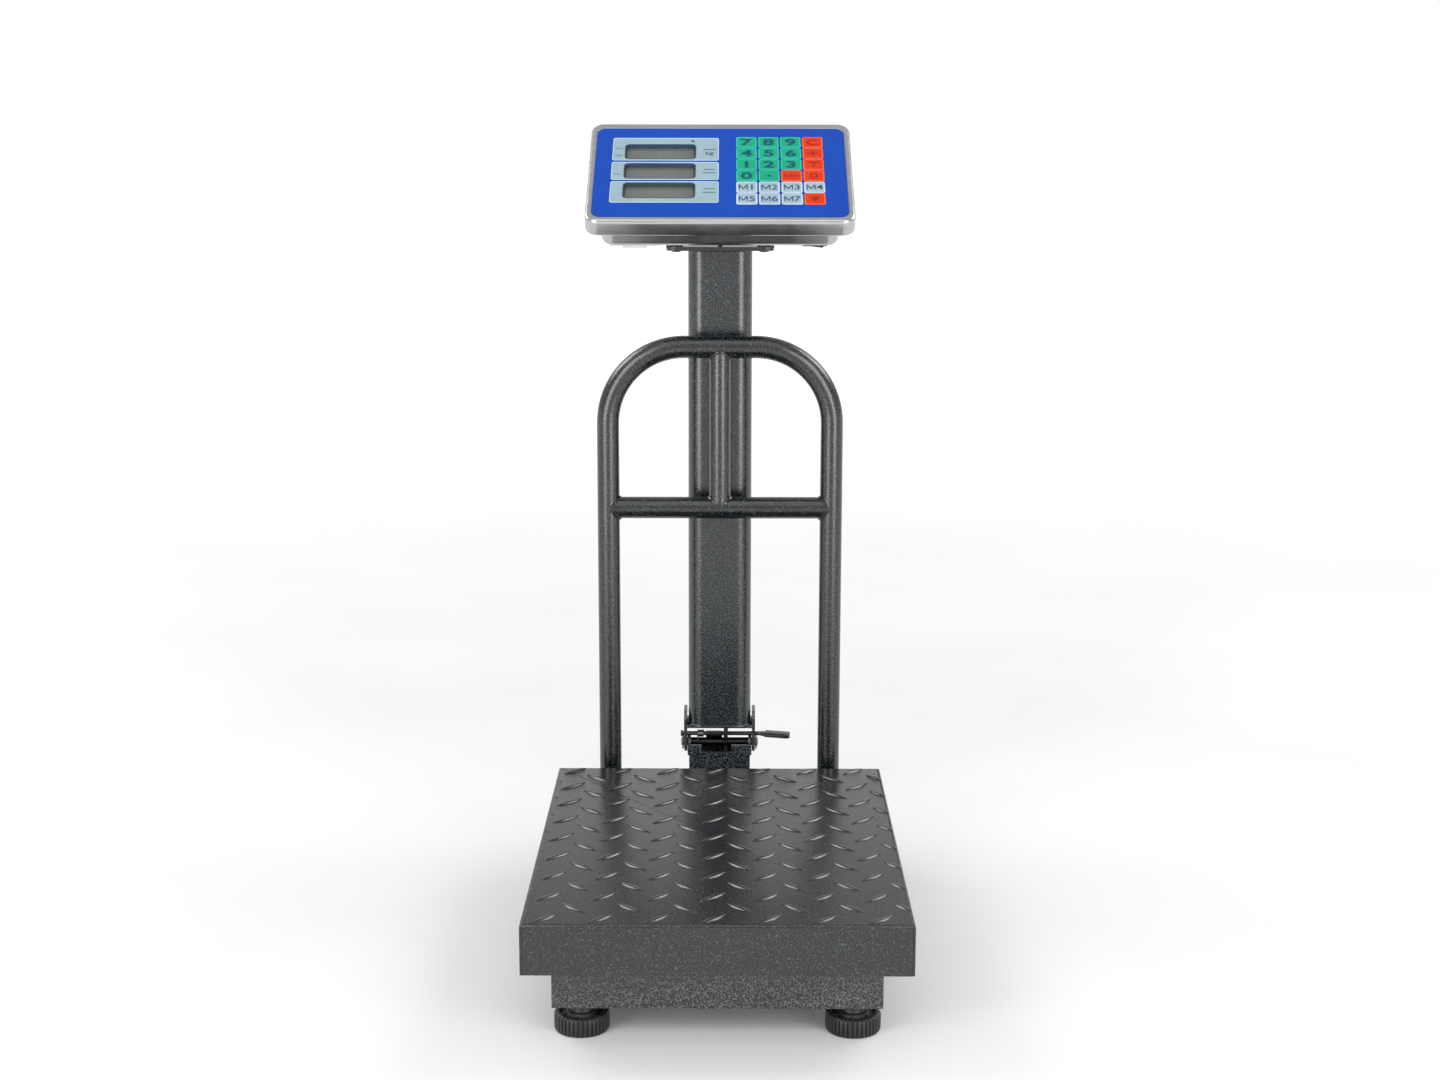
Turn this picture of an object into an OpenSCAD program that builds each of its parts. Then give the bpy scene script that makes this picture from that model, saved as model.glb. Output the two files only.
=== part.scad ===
// Folding platform scale: a tread-plate weighing platform on four levelling feet, a guard rail,
// and a folding column that carries a price-computing display head.
// Millimetres. Origin: centre of the weighing surface. X to the right, Y to the back, Z up.

/* [Platform] */
// Width of the weighing surface
platform_w = 300; // [290:1:320]
// Depth of the weighing surface
platform_d = 400; // [390:1:400]
// Height of the weighing surface above the floor
platform_h = 102; // [101:1:106]
// Depth of the platform cover's skirt
skirt_h = 40.8; // [38:0.2:42]
// Sheet thickness of the platform cover
cover_t = 2; // [1.5:0.1:2]

/* [Base] */
// Distance from the platform's edge in to the base frame's wall
base_inset = 22; // [20:0.5:23]
// Level of the base frame's bottom edge, below the weighing surface
base_bottom = 76.5; // [76.5:0.1:77]
// Distance from the base frame's wall in to a foot's centre
foot_inset = 22; // [20:0.5:24]
// Diameter of a foot's knurled wheel
wheel_d = 43.5; // [40:0.5:44]

/* [Guard rail] */
// Distance between the centre lines of the two legs
guard_w = 205.4; // [200:0.2:212]
// Height of the hoop's centre line above the weighing surface
guard_h = 391.8; // [370:0.2:400]
// Height of the crossbar's centre line above the weighing surface
crossbar_h = 243; // [220:1:250]
// Outside diameter of the hoop's tube
guard_tube_d = 20.6; // [18:0.2:22]
// Bend radius of the hoop's centre line
guard_bend_r = 70; // [60:1:75]

/* [Column] */
// Width of the column tube
column_w = 59.2; // [59.2:0.1:59.2]
// Depth of the column tube
column_d = 40; // [38:1:40]
// Height of the column's upper end above the weighing surface
column_top = 478.5; // [470:0.5:490]
// Corner radius of the column tube
column_corner = 14; // [10:0.5:16]

/* [Display head] */
// Width of the head's lid
lid_w = 240; // [240:1:246]
// Depth of the head's lid along its slope
lid_d = 163; // [162:1:166]
// Slope of the head's face from level
face_tilt = 31; // [31:0.5:31]
// Height of the face's centre above the weighing surface
face_h = 549; // [549:1:560]
// Whole thickness of the head
head_t = 38; // [38:0.5:39]

/* [Keys] */
// Width of a key
key_w = 18.8; // [18:0.1:18.8]
// Height of a key
key_d = 17.7; // [17:0.1:17.7]
// How far a key goes down
key_travel = 0.8; // [0.4:0.1:0.8]

/* [Hidden] */

eps = 0.01;              // how far a cut runs past a face
fit = 0.05;              // radial running clearance of a pin or screw
round_fn = 48;           // fineness of round parts in previews

// Platform and base
base_w = platform_w - 2 * base_inset;
base_d = platform_d - 2 * base_inset;
floor_z = -platform_h;
base_z = -base_bottom;
wall_t = 2.5;            // sheet thickness of the base frame
base_top = -38;          // level of the base wall's upper edge
rail = 20;               // side of the platform frame's square tube
pad_t = 3;               // rubber pad between the platform frame and the cover
frame_top = -cover_t - pad_t;
frame_bottom = frame_top - rail;
rail_x = 110;            // centre line of the platform frame's side rails
plate_t = 8;             // cross plate that the load cell carries
cell = [30, 130, 22];    // load cell's width, length and height
spacer_t = 3;            // spacers at the load cell's two ends
cell_top = frame_bottom - spacer_t;
cell_bottom = cell_top - cell[2];
beam_w = 50;             // base beam under the load cell
beam_top = cell_bottom - spacer_t;
cell_bolts = [40, 56];   // distance of the load cell's bolts from its middle
gusset = [44, 94, 4];    // base frame's corner plates
stop_y = 100;            // overload stops, distance from the middle
foot_x = base_w / 2 - foot_inset;
foot_y = base_d / 2 - foot_inset;
stud_r = 5;              // levelling screw
stud_top = -50;

// Guard rail and rear bracket
guard_y = 224;           // plane of the guard rail
guard_r = guard_tube_d / 2;
guard_t = 1.5;           // wall thickness of the guard rail's tubes
bar_r = 10;              // radius of the crossbar and the centre bar
bracket_top = -47;       // upper face of the rear bracket
bracket_w = 236;
bracket_back = 243;
tongue_w = 60;           // the rear bracket's tongue, which carries the hinge
tongue_back = 290;
sheet = 3;               // sheet thickness of the brackets

// Column and hinge
column_front = 245;
column_y = column_front + column_d / 2;
column_bottom = 27;
column_t = 1.5;
pin_y = 267;             // fold axis
pin_z = 6;
pin_r = 4;
ear_r = 9.4;             // rounded end of an ear round the pin
latch_y = 257;           // latch rod's axis
latch_z = 17;
latch_r = 2;
ear_t = 3;
ear_in = 31;             // inner face of the upper bracket's ears
lower_w = ear_in - 0.4;  // outer half width of the lower bracket at the pin
lower_neck = 29.1;       // outer half width of the lower bracket below its shoulders
front_plate_y = 250;     // front face of the lower bracket
back_wall = [282.3, 284.8]; // faces of the lower bracket's back wall, clear of the turned pawl
cable_r = 2.1;

// Column top and head
plate_w = 98;            // width of the column's top plate and of the head bracket
plate_d = 76;
top_plate_t = 1.9;
bracket_z = column_top + top_plate_t;
head_y = column_front;   // the face's centre lies above the column's front
bolt_x = 40;
bolt_y = 28;
lid_shift = 1.5;         // the lid's centre, up the slope from the face's centre
lid_deep = 16.5;
lid_t = 1;
lid_corner = 12;
panel = [228.5, 146.7];  // printed front panel
panel_corner = 9;
panel_t = 0.7;
pan_w = 213;
pan_d = 137;
pan_t = 1.5;
pan_corner = 9;
window = [64, 24];       // display windows
window_x = -55;
window_z = [33, 0.7, -31.3];
block_in = 1;            // how far a window's cut-out in the lid stands back
key_x0 = 23.8;           // centre of the first key column
key_y0 = 49.2;           // centre of the first key row
key_pitch = [20.3, 18.8];
key_gap = 0.2;           // clearance round a key in the front panel
key_top = 0.45;          // how far a key stands above the panel's plane
key_flange = 0.5;
board = [205, 124, 1.6];
board_top = -6;
switch_h = 2.3;
battery_size = [51, 97, 24];
battery_x = -77.5;
door = [44, 104, 2];
door_x = -77;
door_y = -8;
rocker_x = 85;
rocker_y = -54;
rocker = [17, 11, 8];
rocker_tilt = 8;         // the rocker rests with one end down
jack_x = 60;
jack_z = -25;
jack_r = 2.75;           // hole for a 5.5 mm charging plug
jack_deep = 9.5;

// The signal cable's route, from the load cell to the head
cable_route = [
    [0, 61, -39], [0, 68, -39], [2, 76, -42], [5, 86, -50], [6, 94, -58], [6, 108, -65], [6, 140, -66],
    [6, 176, -65],
    [6, 210, -65], [6, 236, -64], [6, 250, -59], [6, 256, -47], [6, 261, -33], [6, 269, -19],
    [6, 275, -6], [6, 276, 5], [6, 272, 12.5], [6, 265, 14], [6, 257.5, 11], [6, 252.5, 14],
    [6, 251.5, 21], [6, 252.5, 30], [4, 257, 48], [1, 263, 80], [0, 265, 130], [0, 265, 200],
    [0, 265, 270], [0, 265, 340], [0, 265, 410], [0, 265, 470], [0, 265.5, 490],
    [0, 265.6, 505], [0, 264.6, 515], [0, 262, 523], [0, 257, 531]
];
cable_steps = 2;         // rings laid between two points of the route
cable_sides = 8;

function corner_arc(x, y, r, from) = let (turn = r < 3 ? 30 : 15)
    [for (a = [0 : turn : 90]) [x + r * cos(from + a), y + r * sin(from + a)]];

// Outline of a rectangle with round corners, centred on the origin
function round_rect(w, d, r) = concat(
    corner_arc(w / 2 - r, d / 2 - r, r, 0),
    corner_arc(r - w / 2, d / 2 - r, r, 90),
    corner_arc(r - w / 2, r - d / 2, r, 180),
    corner_arc(w / 2 - r, r - d / 2, r, 270)
);

module round_box(w, d, r, z0, z1) {
    translate([0, 0, z0]) linear_extrude(z1 - z0) polygon(round_rect(w, d, r));
}

// A box given by its lowest and highest corners
module block(low, high) {
    translate(low) cube(high - low);
}

module mirrored_x() {
    children();
    mirror([1, 0, 0]) children();
}

module mirrored_y() {
    children();
    mirror([0, 1, 0]) children();
}

module corners() {
    mirrored_x() mirrored_y() children();
}

// A rod along X between two stations
module rod_x(r, x0, x1, y, z) {
    translate([x0, y, z]) rotate([0, 90, 0]) cylinder(h = x1 - x0, r = r, $fn = round_fn);
}

module hexagon(flats, z0, z1) {
    translate([0, 0, z0]) cylinder(h = z1 - z0, d = flats / cos(30), $fn = 6);
}

// A plate that stands across X, from its outline in the YZ plane
module side_plate(x0, x1) {
    translate([x0, 0, 0]) rotate([90, 0, 90]) linear_extrude(x1 - x0) children();
}

// Puts its children in the head's own axes: X right, Y up the slope, Z out of the face
module on_face() {
    translate([0, head_y, face_h]) rotate([face_tilt, 0, 0]) children();
}

// ---- Platform ----

module platform_cover() {
    color([0.25, 0.27, 0.29]) difference() {
        block([-platform_w / 2, -platform_d / 2, -skirt_h], [platform_w / 2, platform_d / 2, 0]);
        block([cover_t - platform_w / 2, cover_t - platform_d / 2, -skirt_h - eps],
            [platform_w / 2 - cover_t, platform_d / 2 - cover_t, -cover_t]);
    }
}

module cover_pads() {
    color([0.08, 0.08, 0.08]) corners() translate([rail_x, 150, frame_top])
        cylinder(h = pad_t, r = 9, $fn = round_fn);
}

module rail_y(x, half) {
    difference() {
        block([x - rail / 2, -half, frame_bottom], [x + rail / 2, half, frame_top]);
        block([x - rail / 2 + 2, -half - eps, frame_bottom + 2],
            [x + rail / 2 - 2, half + eps, frame_top - 2]);
    }
}

module platform_frame() {
    half = 168;
    inner = rail_x - rail / 2;
    color([0.2, 0.21, 0.22]) difference() {
        union() {
            mirrored_x() rail_y(rail_x, half);
            mirrored_y() block([-inner, half - rail, frame_bottom], [inner, half, frame_bottom + 3]);
            mirrored_y() block([-inner, half - rail, frame_bottom], [inner, half - rail + 3, frame_top]);
            block([-inner, -66, frame_bottom], [inner, -30, frame_bottom + plate_t]);
            block([-cell[0] / 2, -66, cell_top], [cell[0] / 2, -34, frame_bottom]);
        }
        for (y = cell_bolts) translate([0, -y, cell_top - eps])
            cylinder(h = spacer_t + plate_t + 2 * eps, r = 4, $fn = round_fn);
    }
}

module load_cell() {
    color([0.75, 0.76, 0.78]) difference() {
        block([-cell[0] / 2, -cell[1] / 2, cell_bottom], [cell[0] / 2, cell[1] / 2, cell_top]);
        for (y = [-10, 10]) rod_x(7.5, -cell[0], cell[0], y, (cell_top + cell_bottom) / 2);
        block([-cell[0], -10, (cell_top + cell_bottom) / 2 - 2],
            [cell[0], 10, (cell_top + cell_bottom) / 2 + 2]);
        for (y = cell_bolts) {
            translate([0, -y, cell_top - 14]) cylinder(h = 15, r = 4, $fn = round_fn);
            translate([0, y, cell_bottom - 1]) cylinder(h = 15, r = 4, $fn = round_fn);
        }
        translate([0, 54, -39]) rotate([-90, 0, 0]) cylinder(h = 12, r = cable_r + 0.5, $fn = round_fn);
    }
}

// ---- Base ----

module base_wall_ring() {
    difference() {
        block([-base_w / 2, -base_d / 2, base_z], [base_w / 2, base_d / 2, base_top]);
        block([wall_t - base_w / 2, wall_t - base_d / 2, base_z + wall_t],
            [base_w / 2 - wall_t, base_d / 2 - wall_t, base_top + eps]);
        block([22 - base_w / 2, 22 - base_d / 2, base_z - eps],
            [base_w / 2 - 22, base_d / 2 - 22, base_z + wall_t + eps]);
    }
}

module base_beam() {
    end = base_d / 2 - 1;
    difference() {
        block([-beam_w / 2, -end, base_z], [beam_w / 2, end, beam_top]);
        block([3 - beam_w / 2, -end - 2, base_z - eps], [beam_w / 2 - 3, end + 2, beam_top - 3]);
    }
}

module base_frame() {
    color([0.24, 0.25, 0.26]) difference() {
        union() {
            base_wall_ring();
            base_beam();
            block([-cell[0] / 2, 34, beam_top], [cell[0] / 2, 66, cell_bottom]);
            corners() block([base_w / 2 - gusset[0], base_d / 2 - gusset[1], base_z],
                [base_w / 2 - 1, base_d / 2 - 1, base_z + gusset[2]]);
        }
        corners() translate([foot_x, foot_y, base_z - eps])
            cylinder(h = gusset[2] + 2 * eps, r = stud_r + fit, $fn = round_fn);
        corners() translate([rail_x, stop_y, base_z - eps])
            cylinder(h = gusset[2] + 2 * eps, r = 4, $fn = round_fn);
        for (y = cell_bolts) translate([0, y, beam_top - 4])
            cylinder(h = spacer_t + 6, r = 4, $fn = round_fn);
        translate([6, 165, -65]) rotate([-90, 0, 0]) cylinder(h = 20, r = 5, $fn = round_fn);
        translate([6, 92, -60]) cylinder(h = 20, r = 9, $fn = round_fn);
    }
}

// Load cell bolts, weld nuts for the feet, overload stops and the hinge bracket's bolts
module frame_fasteners() {
    color([0.62, 0.63, 0.65]) {
        for (y = cell_bolts) {
            translate([0, y, 0]) {
                translate([0, 0, beam_top - 3]) cylinder(h = 19, r = 4, $fn = round_fn);
                hexagon(13, beam_top - 8, beam_top - 3);
            }
            translate([0, -y, 0]) {
                translate([0, 0, frame_bottom - 15]) cylinder(h = 15 + plate_t, r = 4, $fn = round_fn);
                hexagon(13, frame_bottom + plate_t, frame_bottom + plate_t + 5);
            }
        }
        corners() translate([foot_x, foot_y, 0]) difference() {
            hexagon(17, base_z + gusset[2], base_z + gusset[2] + 8);
            translate([0, 0, base_z]) cylinder(h = 20, r = stud_r + fit, $fn = round_fn);
        }
        corners() translate([rail_x, stop_y, 0]) {
            translate([0, 0, base_z]) cylinder(h = base_bottom + frame_bottom - 0.8, r = 4, $fn = round_fn);
            hexagon(13, base_z + gusset[2], base_z + gusset[2] + 6.5);
        }
        mirrored_x() translate([17, 264, 0]) {
            translate([0, 0, bracket_top - sheet - 5]) cylinder(h = 13, r = 3, $fn = round_fn);
            hexagon(10, bracket_top + sheet, bracket_top + sheet + 4);
        }
    }
}

// ---- Levelling feet ----

module foot_stud(x, y) {
    color([0.6, 0.61, 0.63]) translate([x, y, floor_z + 4.5])
        cylinder(h = stud_top - floor_z - 4.5, r = stud_r, $fn = round_fn);
}

module foot_wheel(x, y) {
    r = wheel_d / 2;
    color([0.09, 0.1, 0.11]) translate([x, y, floor_z]) rotate_extrude($fn = round_fn) polygon([
        [0, 0], [r - 2, 0], [r, 2], [r, 13], [r - 2, 15], [17, 15.5], [15, 18], [9.5, 18],
        [9, 23.5], [stud_r + fit, 23.5], [stud_r + fit, 4], [0, 4]
    ]);
}

// ---- Guard rail ----

module tube_z(r, z0, z1) {
    translate([0, 0, z0]) difference() {
        cylinder(h = z1 - z0, r = r, $fn = round_fn);
        translate([0, 0, -eps]) cylinder(h = z1 - z0 + 2 * eps, r = r - guard_t, $fn = round_fn);
    }
}

module guard_hoop() {
    leg_x = guard_w / 2;
    bend_z = guard_h - guard_bend_r;
    color([0.27, 0.28, 0.3]) translate([0, guard_y, 0]) {
        mirrored_x() {
            translate([leg_x, 0, 0]) tube_z(guard_r, bracket_top, bend_z);
            translate([leg_x - guard_bend_r, 0, bend_z]) rotate([90, 0, 0])
                rotate_extrude(angle = 90, $fn = round_fn) translate([guard_bend_r, 0]) difference() {
                    circle(r = guard_r, $fn = round_fn);
                    circle(r = guard_r - guard_t, $fn = round_fn);
                }
        }
        translate([guard_bend_r - leg_x, 0, guard_h]) rotate([0, 90, 0])
            tube_z(guard_r, 0, 2 * (leg_x - guard_bend_r));
    }
}

// The crossbar and the centre bar, coped to the tubes that they meet
module guard_bars() {
    leg_x = guard_w / 2;
    cope = 0.03;
    color([0.27, 0.28, 0.3]) translate([0, guard_y, 0]) {
        difference() {
            translate([-leg_x, 0, crossbar_h]) rotate([0, 90, 0]) tube_z(bar_r, 0, 2 * leg_x);
            mirrored_x() translate([leg_x, 0, crossbar_h - 30])
                cylinder(h = 60, r = guard_r + cope, $fn = round_fn);
        }
        difference() {
            tube_z(bar_r, crossbar_h, guard_h);
            rod_x(bar_r + cope, -30, 30, 0, crossbar_h);
            rod_x(guard_r + cope, -30, 30, 0, guard_h);
        }
    }
}

// ---- Rear bracket and hinge ----

// An inverted channel with closed front
module rear_bracket() {
    w = bracket_w / 2;
    t = tongue_w / 2;
    wall_y = base_d / 2;
    low = base_z + 4;
    color([0.2, 0.21, 0.22]) difference() {
        union() {
            block([-w, wall_y, bracket_top - sheet], [w, bracket_back, bracket_top]);
            block([-w, wall_y, low], [w, wall_y + sheet, bracket_top]);
            mirrored_x() block([w - sheet, wall_y, low], [w, bracket_back, bracket_top]);
            mirrored_x() block([t, bracket_back - sheet, low], [w, bracket_back, bracket_top]);
            block([-t, wall_y, bracket_top - sheet], [t, tongue_back, bracket_top]);
            mirrored_x() block([t - sheet, bracket_back - sheet, low], [t, tongue_back, bracket_top]);
            block([-t, tongue_back - sheet, low], [t, tongue_back, bracket_top]);
        }
        translate([6, wall_y - 5, -65]) rotate([-90, 0, 0]) cylinder(h = 20, r = 5, $fn = round_fn);
        block([2, 250, bracket_top - 10], [10, 262, bracket_top + 1]);
        mirrored_x() translate([17, 264, bracket_top - 10]) cylinder(h = 20, r = 3, $fn = round_fn);
    }
}

module hinge_lower_bracket() {
    front = front_plate_y;
    back = back_wall[1];
    shoulder = -3;
    color([0.2, 0.21, 0.22]) difference() {
        union() {
            block([-lower_neck, front, bracket_top], [lower_neck, front + sheet, shoulder]);
            block([-lower_w, front, shoulder], [lower_w, front + sheet, 7]);
            block([-lower_neck, front, bracket_top], [lower_neck, tongue_back - 8, bracket_top + sheet]);
            mirrored_x() side_plate(lower_neck - ear_t, lower_neck)
                translate([front, bracket_top]) square([back - front, shoulder - bracket_top]);
            mirrored_x() side_plate(lower_w - ear_t, lower_w) union() {
                translate([front, shoulder]) square([pin_y - front, 7 - shoulder]);
                translate([pin_y, shoulder]) square([back - pin_y, 1.5 - shoulder]);
                translate([pin_y, pin_z]) circle(r = ear_r, $fn = round_fn);
            }
            block([-lower_neck, back_wall[0], bracket_top], [lower_neck, back, 1.5]);
        }
        block([-17, front - 1, 0], [11, front + sheet + 1, 8]);
        mirrored_x() translate([16, front - 1, -2.5]) rotate([-90, 0, 0])
            cylinder(h = sheet + 2, r = 1.4, $fn = round_fn);
        rod_x(pin_r + 0.02, -40, 40, pin_y, pin_z);
        block([2, 252.5 + sheet - 2.5, bracket_top - 1], [10, 262, bracket_top + sheet + 1]);
        mirrored_x() translate([17, 264, bracket_top - 1]) cylinder(h = 10, r = 3, $fn = round_fn);
    }
}

module hinge_pin() {
    end = ear_in + ear_t + 0.4;
    color([0.35, 0.36, 0.38]) union() {
        rod_x(pin_r, -end - 2.4, end + 2.4, pin_y, pin_z);
        mirrored_x() rod_x(7.5, end, end + 1.6, pin_y, pin_z);
    }
}

module hinge_upper_bracket() {
    color([0.2, 0.21, 0.22]) difference() {
        union() {
            block([-ear_in, column_front + 1, column_bottom - 2],
                [ear_in, column_front + column_d - 1, column_bottom]);
            mirrored_x() side_plate(ear_in, ear_in + ear_t) union() {
                translate([pin_y, pin_z]) circle(r = ear_r, $fn = round_fn);
                polygon([[pin_y - 8, pin_z - 4], [pin_y + 8, pin_z - 4], [283, 24], [283, 33],
                    [277, 39.6], [257, 39.6], [251, 33], [251, 14]]);
            }
        }
        rod_x(pin_r + fit, -40, 40, pin_y, pin_z);
        rod_x(latch_r + fit, -40, 40, latch_y, latch_z);
        block([2.5, 249, column_bottom - 3], [9.5, 256, column_bottom + 1]);
    }
}

// Cross rod with a flat handle at its right end and a pawl that reaches over the hinge pin
module latch_rod() {
    color([0.3, 0.31, 0.33]) union() {
        rod_x(latch_r, -ear_in - ear_t - 3.2, 43, latch_y, latch_z);
        rod_x(2.9, -ear_in - ear_t - 3.2, -ear_in - ear_t - 1.2, latch_y, latch_z);
        translate([40, latch_y, latch_z]) rotate([0, 0, -14]) translate([0, -4, -2.4]) {
            block([0, 1, 0.6], [8, 6, 4.2]);
            block([4, 0, 0], [24, 8, 4.8]);
            translate([24, 4, 0]) cylinder(h = 4.8, r = 4, $fn = round_fn);
        }
        side_plate(-13, 2.5) polygon([[latch_y - 1.4, latch_z - 1.2], [latch_y + 0.4, latch_z + 1.9],
            [273, 15.6], [276.4, 12], [276.4, 0.5], [272.6, 0.5], [272.6, 9.5], [270.8, 11.9],
            [259.4, 13.4]]);
    }
}

module latch_spring() {
    color([0.5, 0.51, 0.53]) difference() {
        rod_x(3.7, -21.5, -15, latch_y, latch_z);
        rod_x(2.4, -22, -14.8, latch_y, latch_z);
    }
}

// ---- Column ----

module column_tube() {
    inner = [column_w - 2 * column_t, column_d - 2 * column_t];
    color([0.24, 0.25, 0.27]) translate([0, column_y, 0]) difference() {
        round_box(column_w, column_d, column_corner, column_bottom, column_top);
        round_box(inner[0], inner[1], column_corner - column_t, column_bottom - 1, column_top + 1);
    }
}

module plate_bolt_holes(z) {
    for (x = [-bolt_x, bolt_x], y = [-bolt_y, bolt_y]) translate([x, column_y + y, z])
        cylinder(h = 6, r = 3, $fn = round_fn);
}

module column_top_plate() {
    color([0.22, 0.23, 0.25]) difference() {
        translate([0, column_y, 0]) round_box(plate_w, plate_d, 8, column_top, bracket_z);
        translate([0, column_y, column_top - 1]) cylinder(h = 6, r = 7, $fn = round_fn);
        plate_bolt_holes(column_top - 2);
    }
}

// Bent wedge between the column's top plate and the head
module head_bracket() {
    base_t = 1.8;
    z0 = bracket_z + base_t;
    under = head_t + 2;                     // underside of the sloping plate, below the face
    foot_back = head_y + under * sin(face_tilt);
    foot_up = face_h - under * cos(face_tilt);
    y0 = column_y - plate_d / 2 + 2;
    y1 = column_y + plate_d / 2 - 3;
    function slope_z(y) = foot_up + (y - foot_back) * tan(face_tilt);
    color([0.22, 0.23, 0.25]) difference() {
        union() {
            translate([0, column_y, 0]) round_box(plate_w, plate_d, 8, bracket_z, z0);
            on_face() block([-plate_w / 2, -44, -under], [plate_w / 2, 46, -head_t]);
            mirrored_x() side_plate(plate_w / 2 - 2, plate_w / 2) polygon([
                [y0, z0 - 1], [y1, z0 - 1], [y1, slope_z(y1) + 1], [y0, slope_z(y0) + 1]]);
        }
        translate([0, column_y, bracket_z - 1]) cylinder(h = 6, r = 7, $fn = round_fn);
        plate_bolt_holes(bracket_z - 1);
        on_face() translate([0, 0, -under - 1]) cylinder(h = 4, r = 7, $fn = round_fn);
        on_face() for (x = [-38, 38], y = [-34, 34]) translate([x, y, -under - 1])
            cylinder(h = 4, r = 2, $fn = round_fn);
    }
}

module head_bolts() {
    color([0.66, 0.67, 0.69]) {
        for (x = [-bolt_x, bolt_x], y = [-bolt_y, bolt_y]) translate([x, column_y + y, 0]) {
            translate([0, 0, column_top - 1]) cylinder(h = 10, r = 3, $fn = round_fn);
            hexagon(10, column_top - 3.6, column_top);
            hexagon(9, bracket_z + 1.8, bracket_z + 5.8);
        }
        on_face() for (x = [-38, 38], y = [-34, 34]) translate([x, y, 0]) {
            translate([0, 0, -head_t - 3]) cylinder(h = 8, r = 2, $fn = round_fn);
            translate([0, 0, -head_t - 4.2]) cylinder(h = 2.2, r = 3.6, $fn = round_fn);
        }
    }
}

// ---- Display head ----

module head_pan() {
    flange_top = -lid_deep + 1.2;
    color([0.7, 0.71, 0.72]) on_face() translate([0, lid_shift, 0]) difference() {
        union() {
            round_box(pan_w, pan_d, pan_corner, -head_t, -lid_deep + eps);
            round_box(lid_w - 2 * lid_t - 0.6, lid_d - 2 * lid_t - 0.6, lid_corner - lid_t,
                -lid_deep, flange_top);
        }
        round_box(pan_w - 2 * pan_t, pan_d - 2 * pan_t, pan_corner - pan_t, pan_t - head_t, 1);
        translate([0, -lid_shift, 0]) {
            translate([0, 0, -head_t - 1]) cylinder(h = 4, r = 7, $fn = round_fn);
            for (x = [-38, 38], y = [-34, 34]) translate([x, y, -head_t - 1])
                cylinder(h = 4, r = 2, $fn = round_fn);
            translate([rocker_x, rocker_y, -head_t])
                cube([rocker[0] + 2.4, rocker[1] + 2, 8], center = true);
            translate([jack_x, 50, jack_z]) rotate([-90, 0, 0]) cylinder(h = 40, r = 5.5, $fn = round_fn);
            translate([door_x, door_y, -head_t]) cube([door[0] - 8, door[1] - 10, 8], center = true);
        }
    }
}

module head_lid() {
    color([0.78, 0.79, 0.8]) on_face() difference() {
        translate([0, lid_shift, 0]) difference() {
            round_box(lid_w, lid_d, lid_corner, -lid_deep, 0);
            round_box(lid_w - 2 * lid_t, lid_d - 2 * lid_t, lid_corner - lid_t,
                -lid_deep - 1, -panel_t - lid_t);
        }
        round_box(panel[0] + 0.4, panel[1] + 0.4, panel_corner, -panel_t - 0.05, 1);
        block([key_x0 - 11, key_y0 - 5 * key_pitch[1] - 10.5, -4],
            [key_x0 + 3 * key_pitch[0] + 11, key_y0 + 10.5, 1]);
        for (z = window_z) translate([window_x, z, -1])
            cube([window[0] + 2 * block_in, window[1] + 2 * block_in, 6], center = true);
    }
}

module front_overlay() {
    color([0.0, 0.33, 0.83]) on_face() difference() {
        round_box(panel[0], panel[1], panel_corner, -panel_t, 0);
        for (z = window_z) translate([window_x, z, 0]) cube([window[0], window[1], 4], center = true);
        for (row = [0 : 5], col = [0 : 3])
            translate([key_x0 + col * key_pitch[0], key_y0 - row * key_pitch[1], 0])
                cube([key_w + 2 * key_gap, key_d + 2 * key_gap, 4], center = true);
    }
}

module display_modules() {
    color([0.42, 0.46, 0.45]) on_face() for (z = window_z)
        block([window_x - 34, z - 14, board_top + 0.1], [window_x + 34, z + 14, -2.1]);
}

module circuit_board() {
    color([0.05, 0.32, 0.16]) on_face() union() {
        block([-board[0] / 2, -board[1] / 2, board_top - board[2]],
            [board[0] / 2, board[1] / 2, board_top]);
        for (row = [0 : 5], col = [0 : 3])
            translate([key_x0 + col * key_pitch[0], key_y0 - row * key_pitch[1], board_top])
                translate([-3, -3, -eps]) cube([6, 6, switch_h]);
    }
}

module battery() {
    z0 = pan_t - head_t + 0.2;
    color([0.15, 0.15, 0.17]) on_face() translate([battery_x, 0, 0]) union() {
        block([-battery_size[0] / 2, -battery_size[1] / 2, z0],
            [battery_size[0] / 2, battery_size[1] / 2, z0 + battery_size[2]]);
        for (x = [-14, 14]) block([x - 3, 36, z0 + battery_size[2] - eps],
            [x + 3, 43, z0 + battery_size[2] + 1.2]);
    }
}

module battery_door() {
    color([0.8, 0.8, 0.78]) on_face() translate([door_x, door_y, -head_t - 0.3 - door[2]]) union() {
        block([-door[0] / 2, -door[1] / 2, 0], [door[0] / 2, door[1] / 2, door[2]]);
        block([-door[0] / 2 + 4, -door[1] / 2, -2.4], [door[0] / 2 - 4, -door[1] / 2 + 3, eps]);
    }
}

module power_rocker() {
    color([0.06, 0.06, 0.07]) on_face() translate([rocker_x, rocker_y, -head_t + 1])
        rotate([0, rocker_tilt, 0]) union() {
            block([-rocker[0] / 2, -rocker[1] / 2, -4.4], [rocker[0] / 2, rocker[1] / 2, 0]);
            translate([0, rocker[1] / 2, 0]) rotate([90, 0, 0])
                cylinder(h = rocker[1], r = 3, $fn = round_fn);
        }
}

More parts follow.
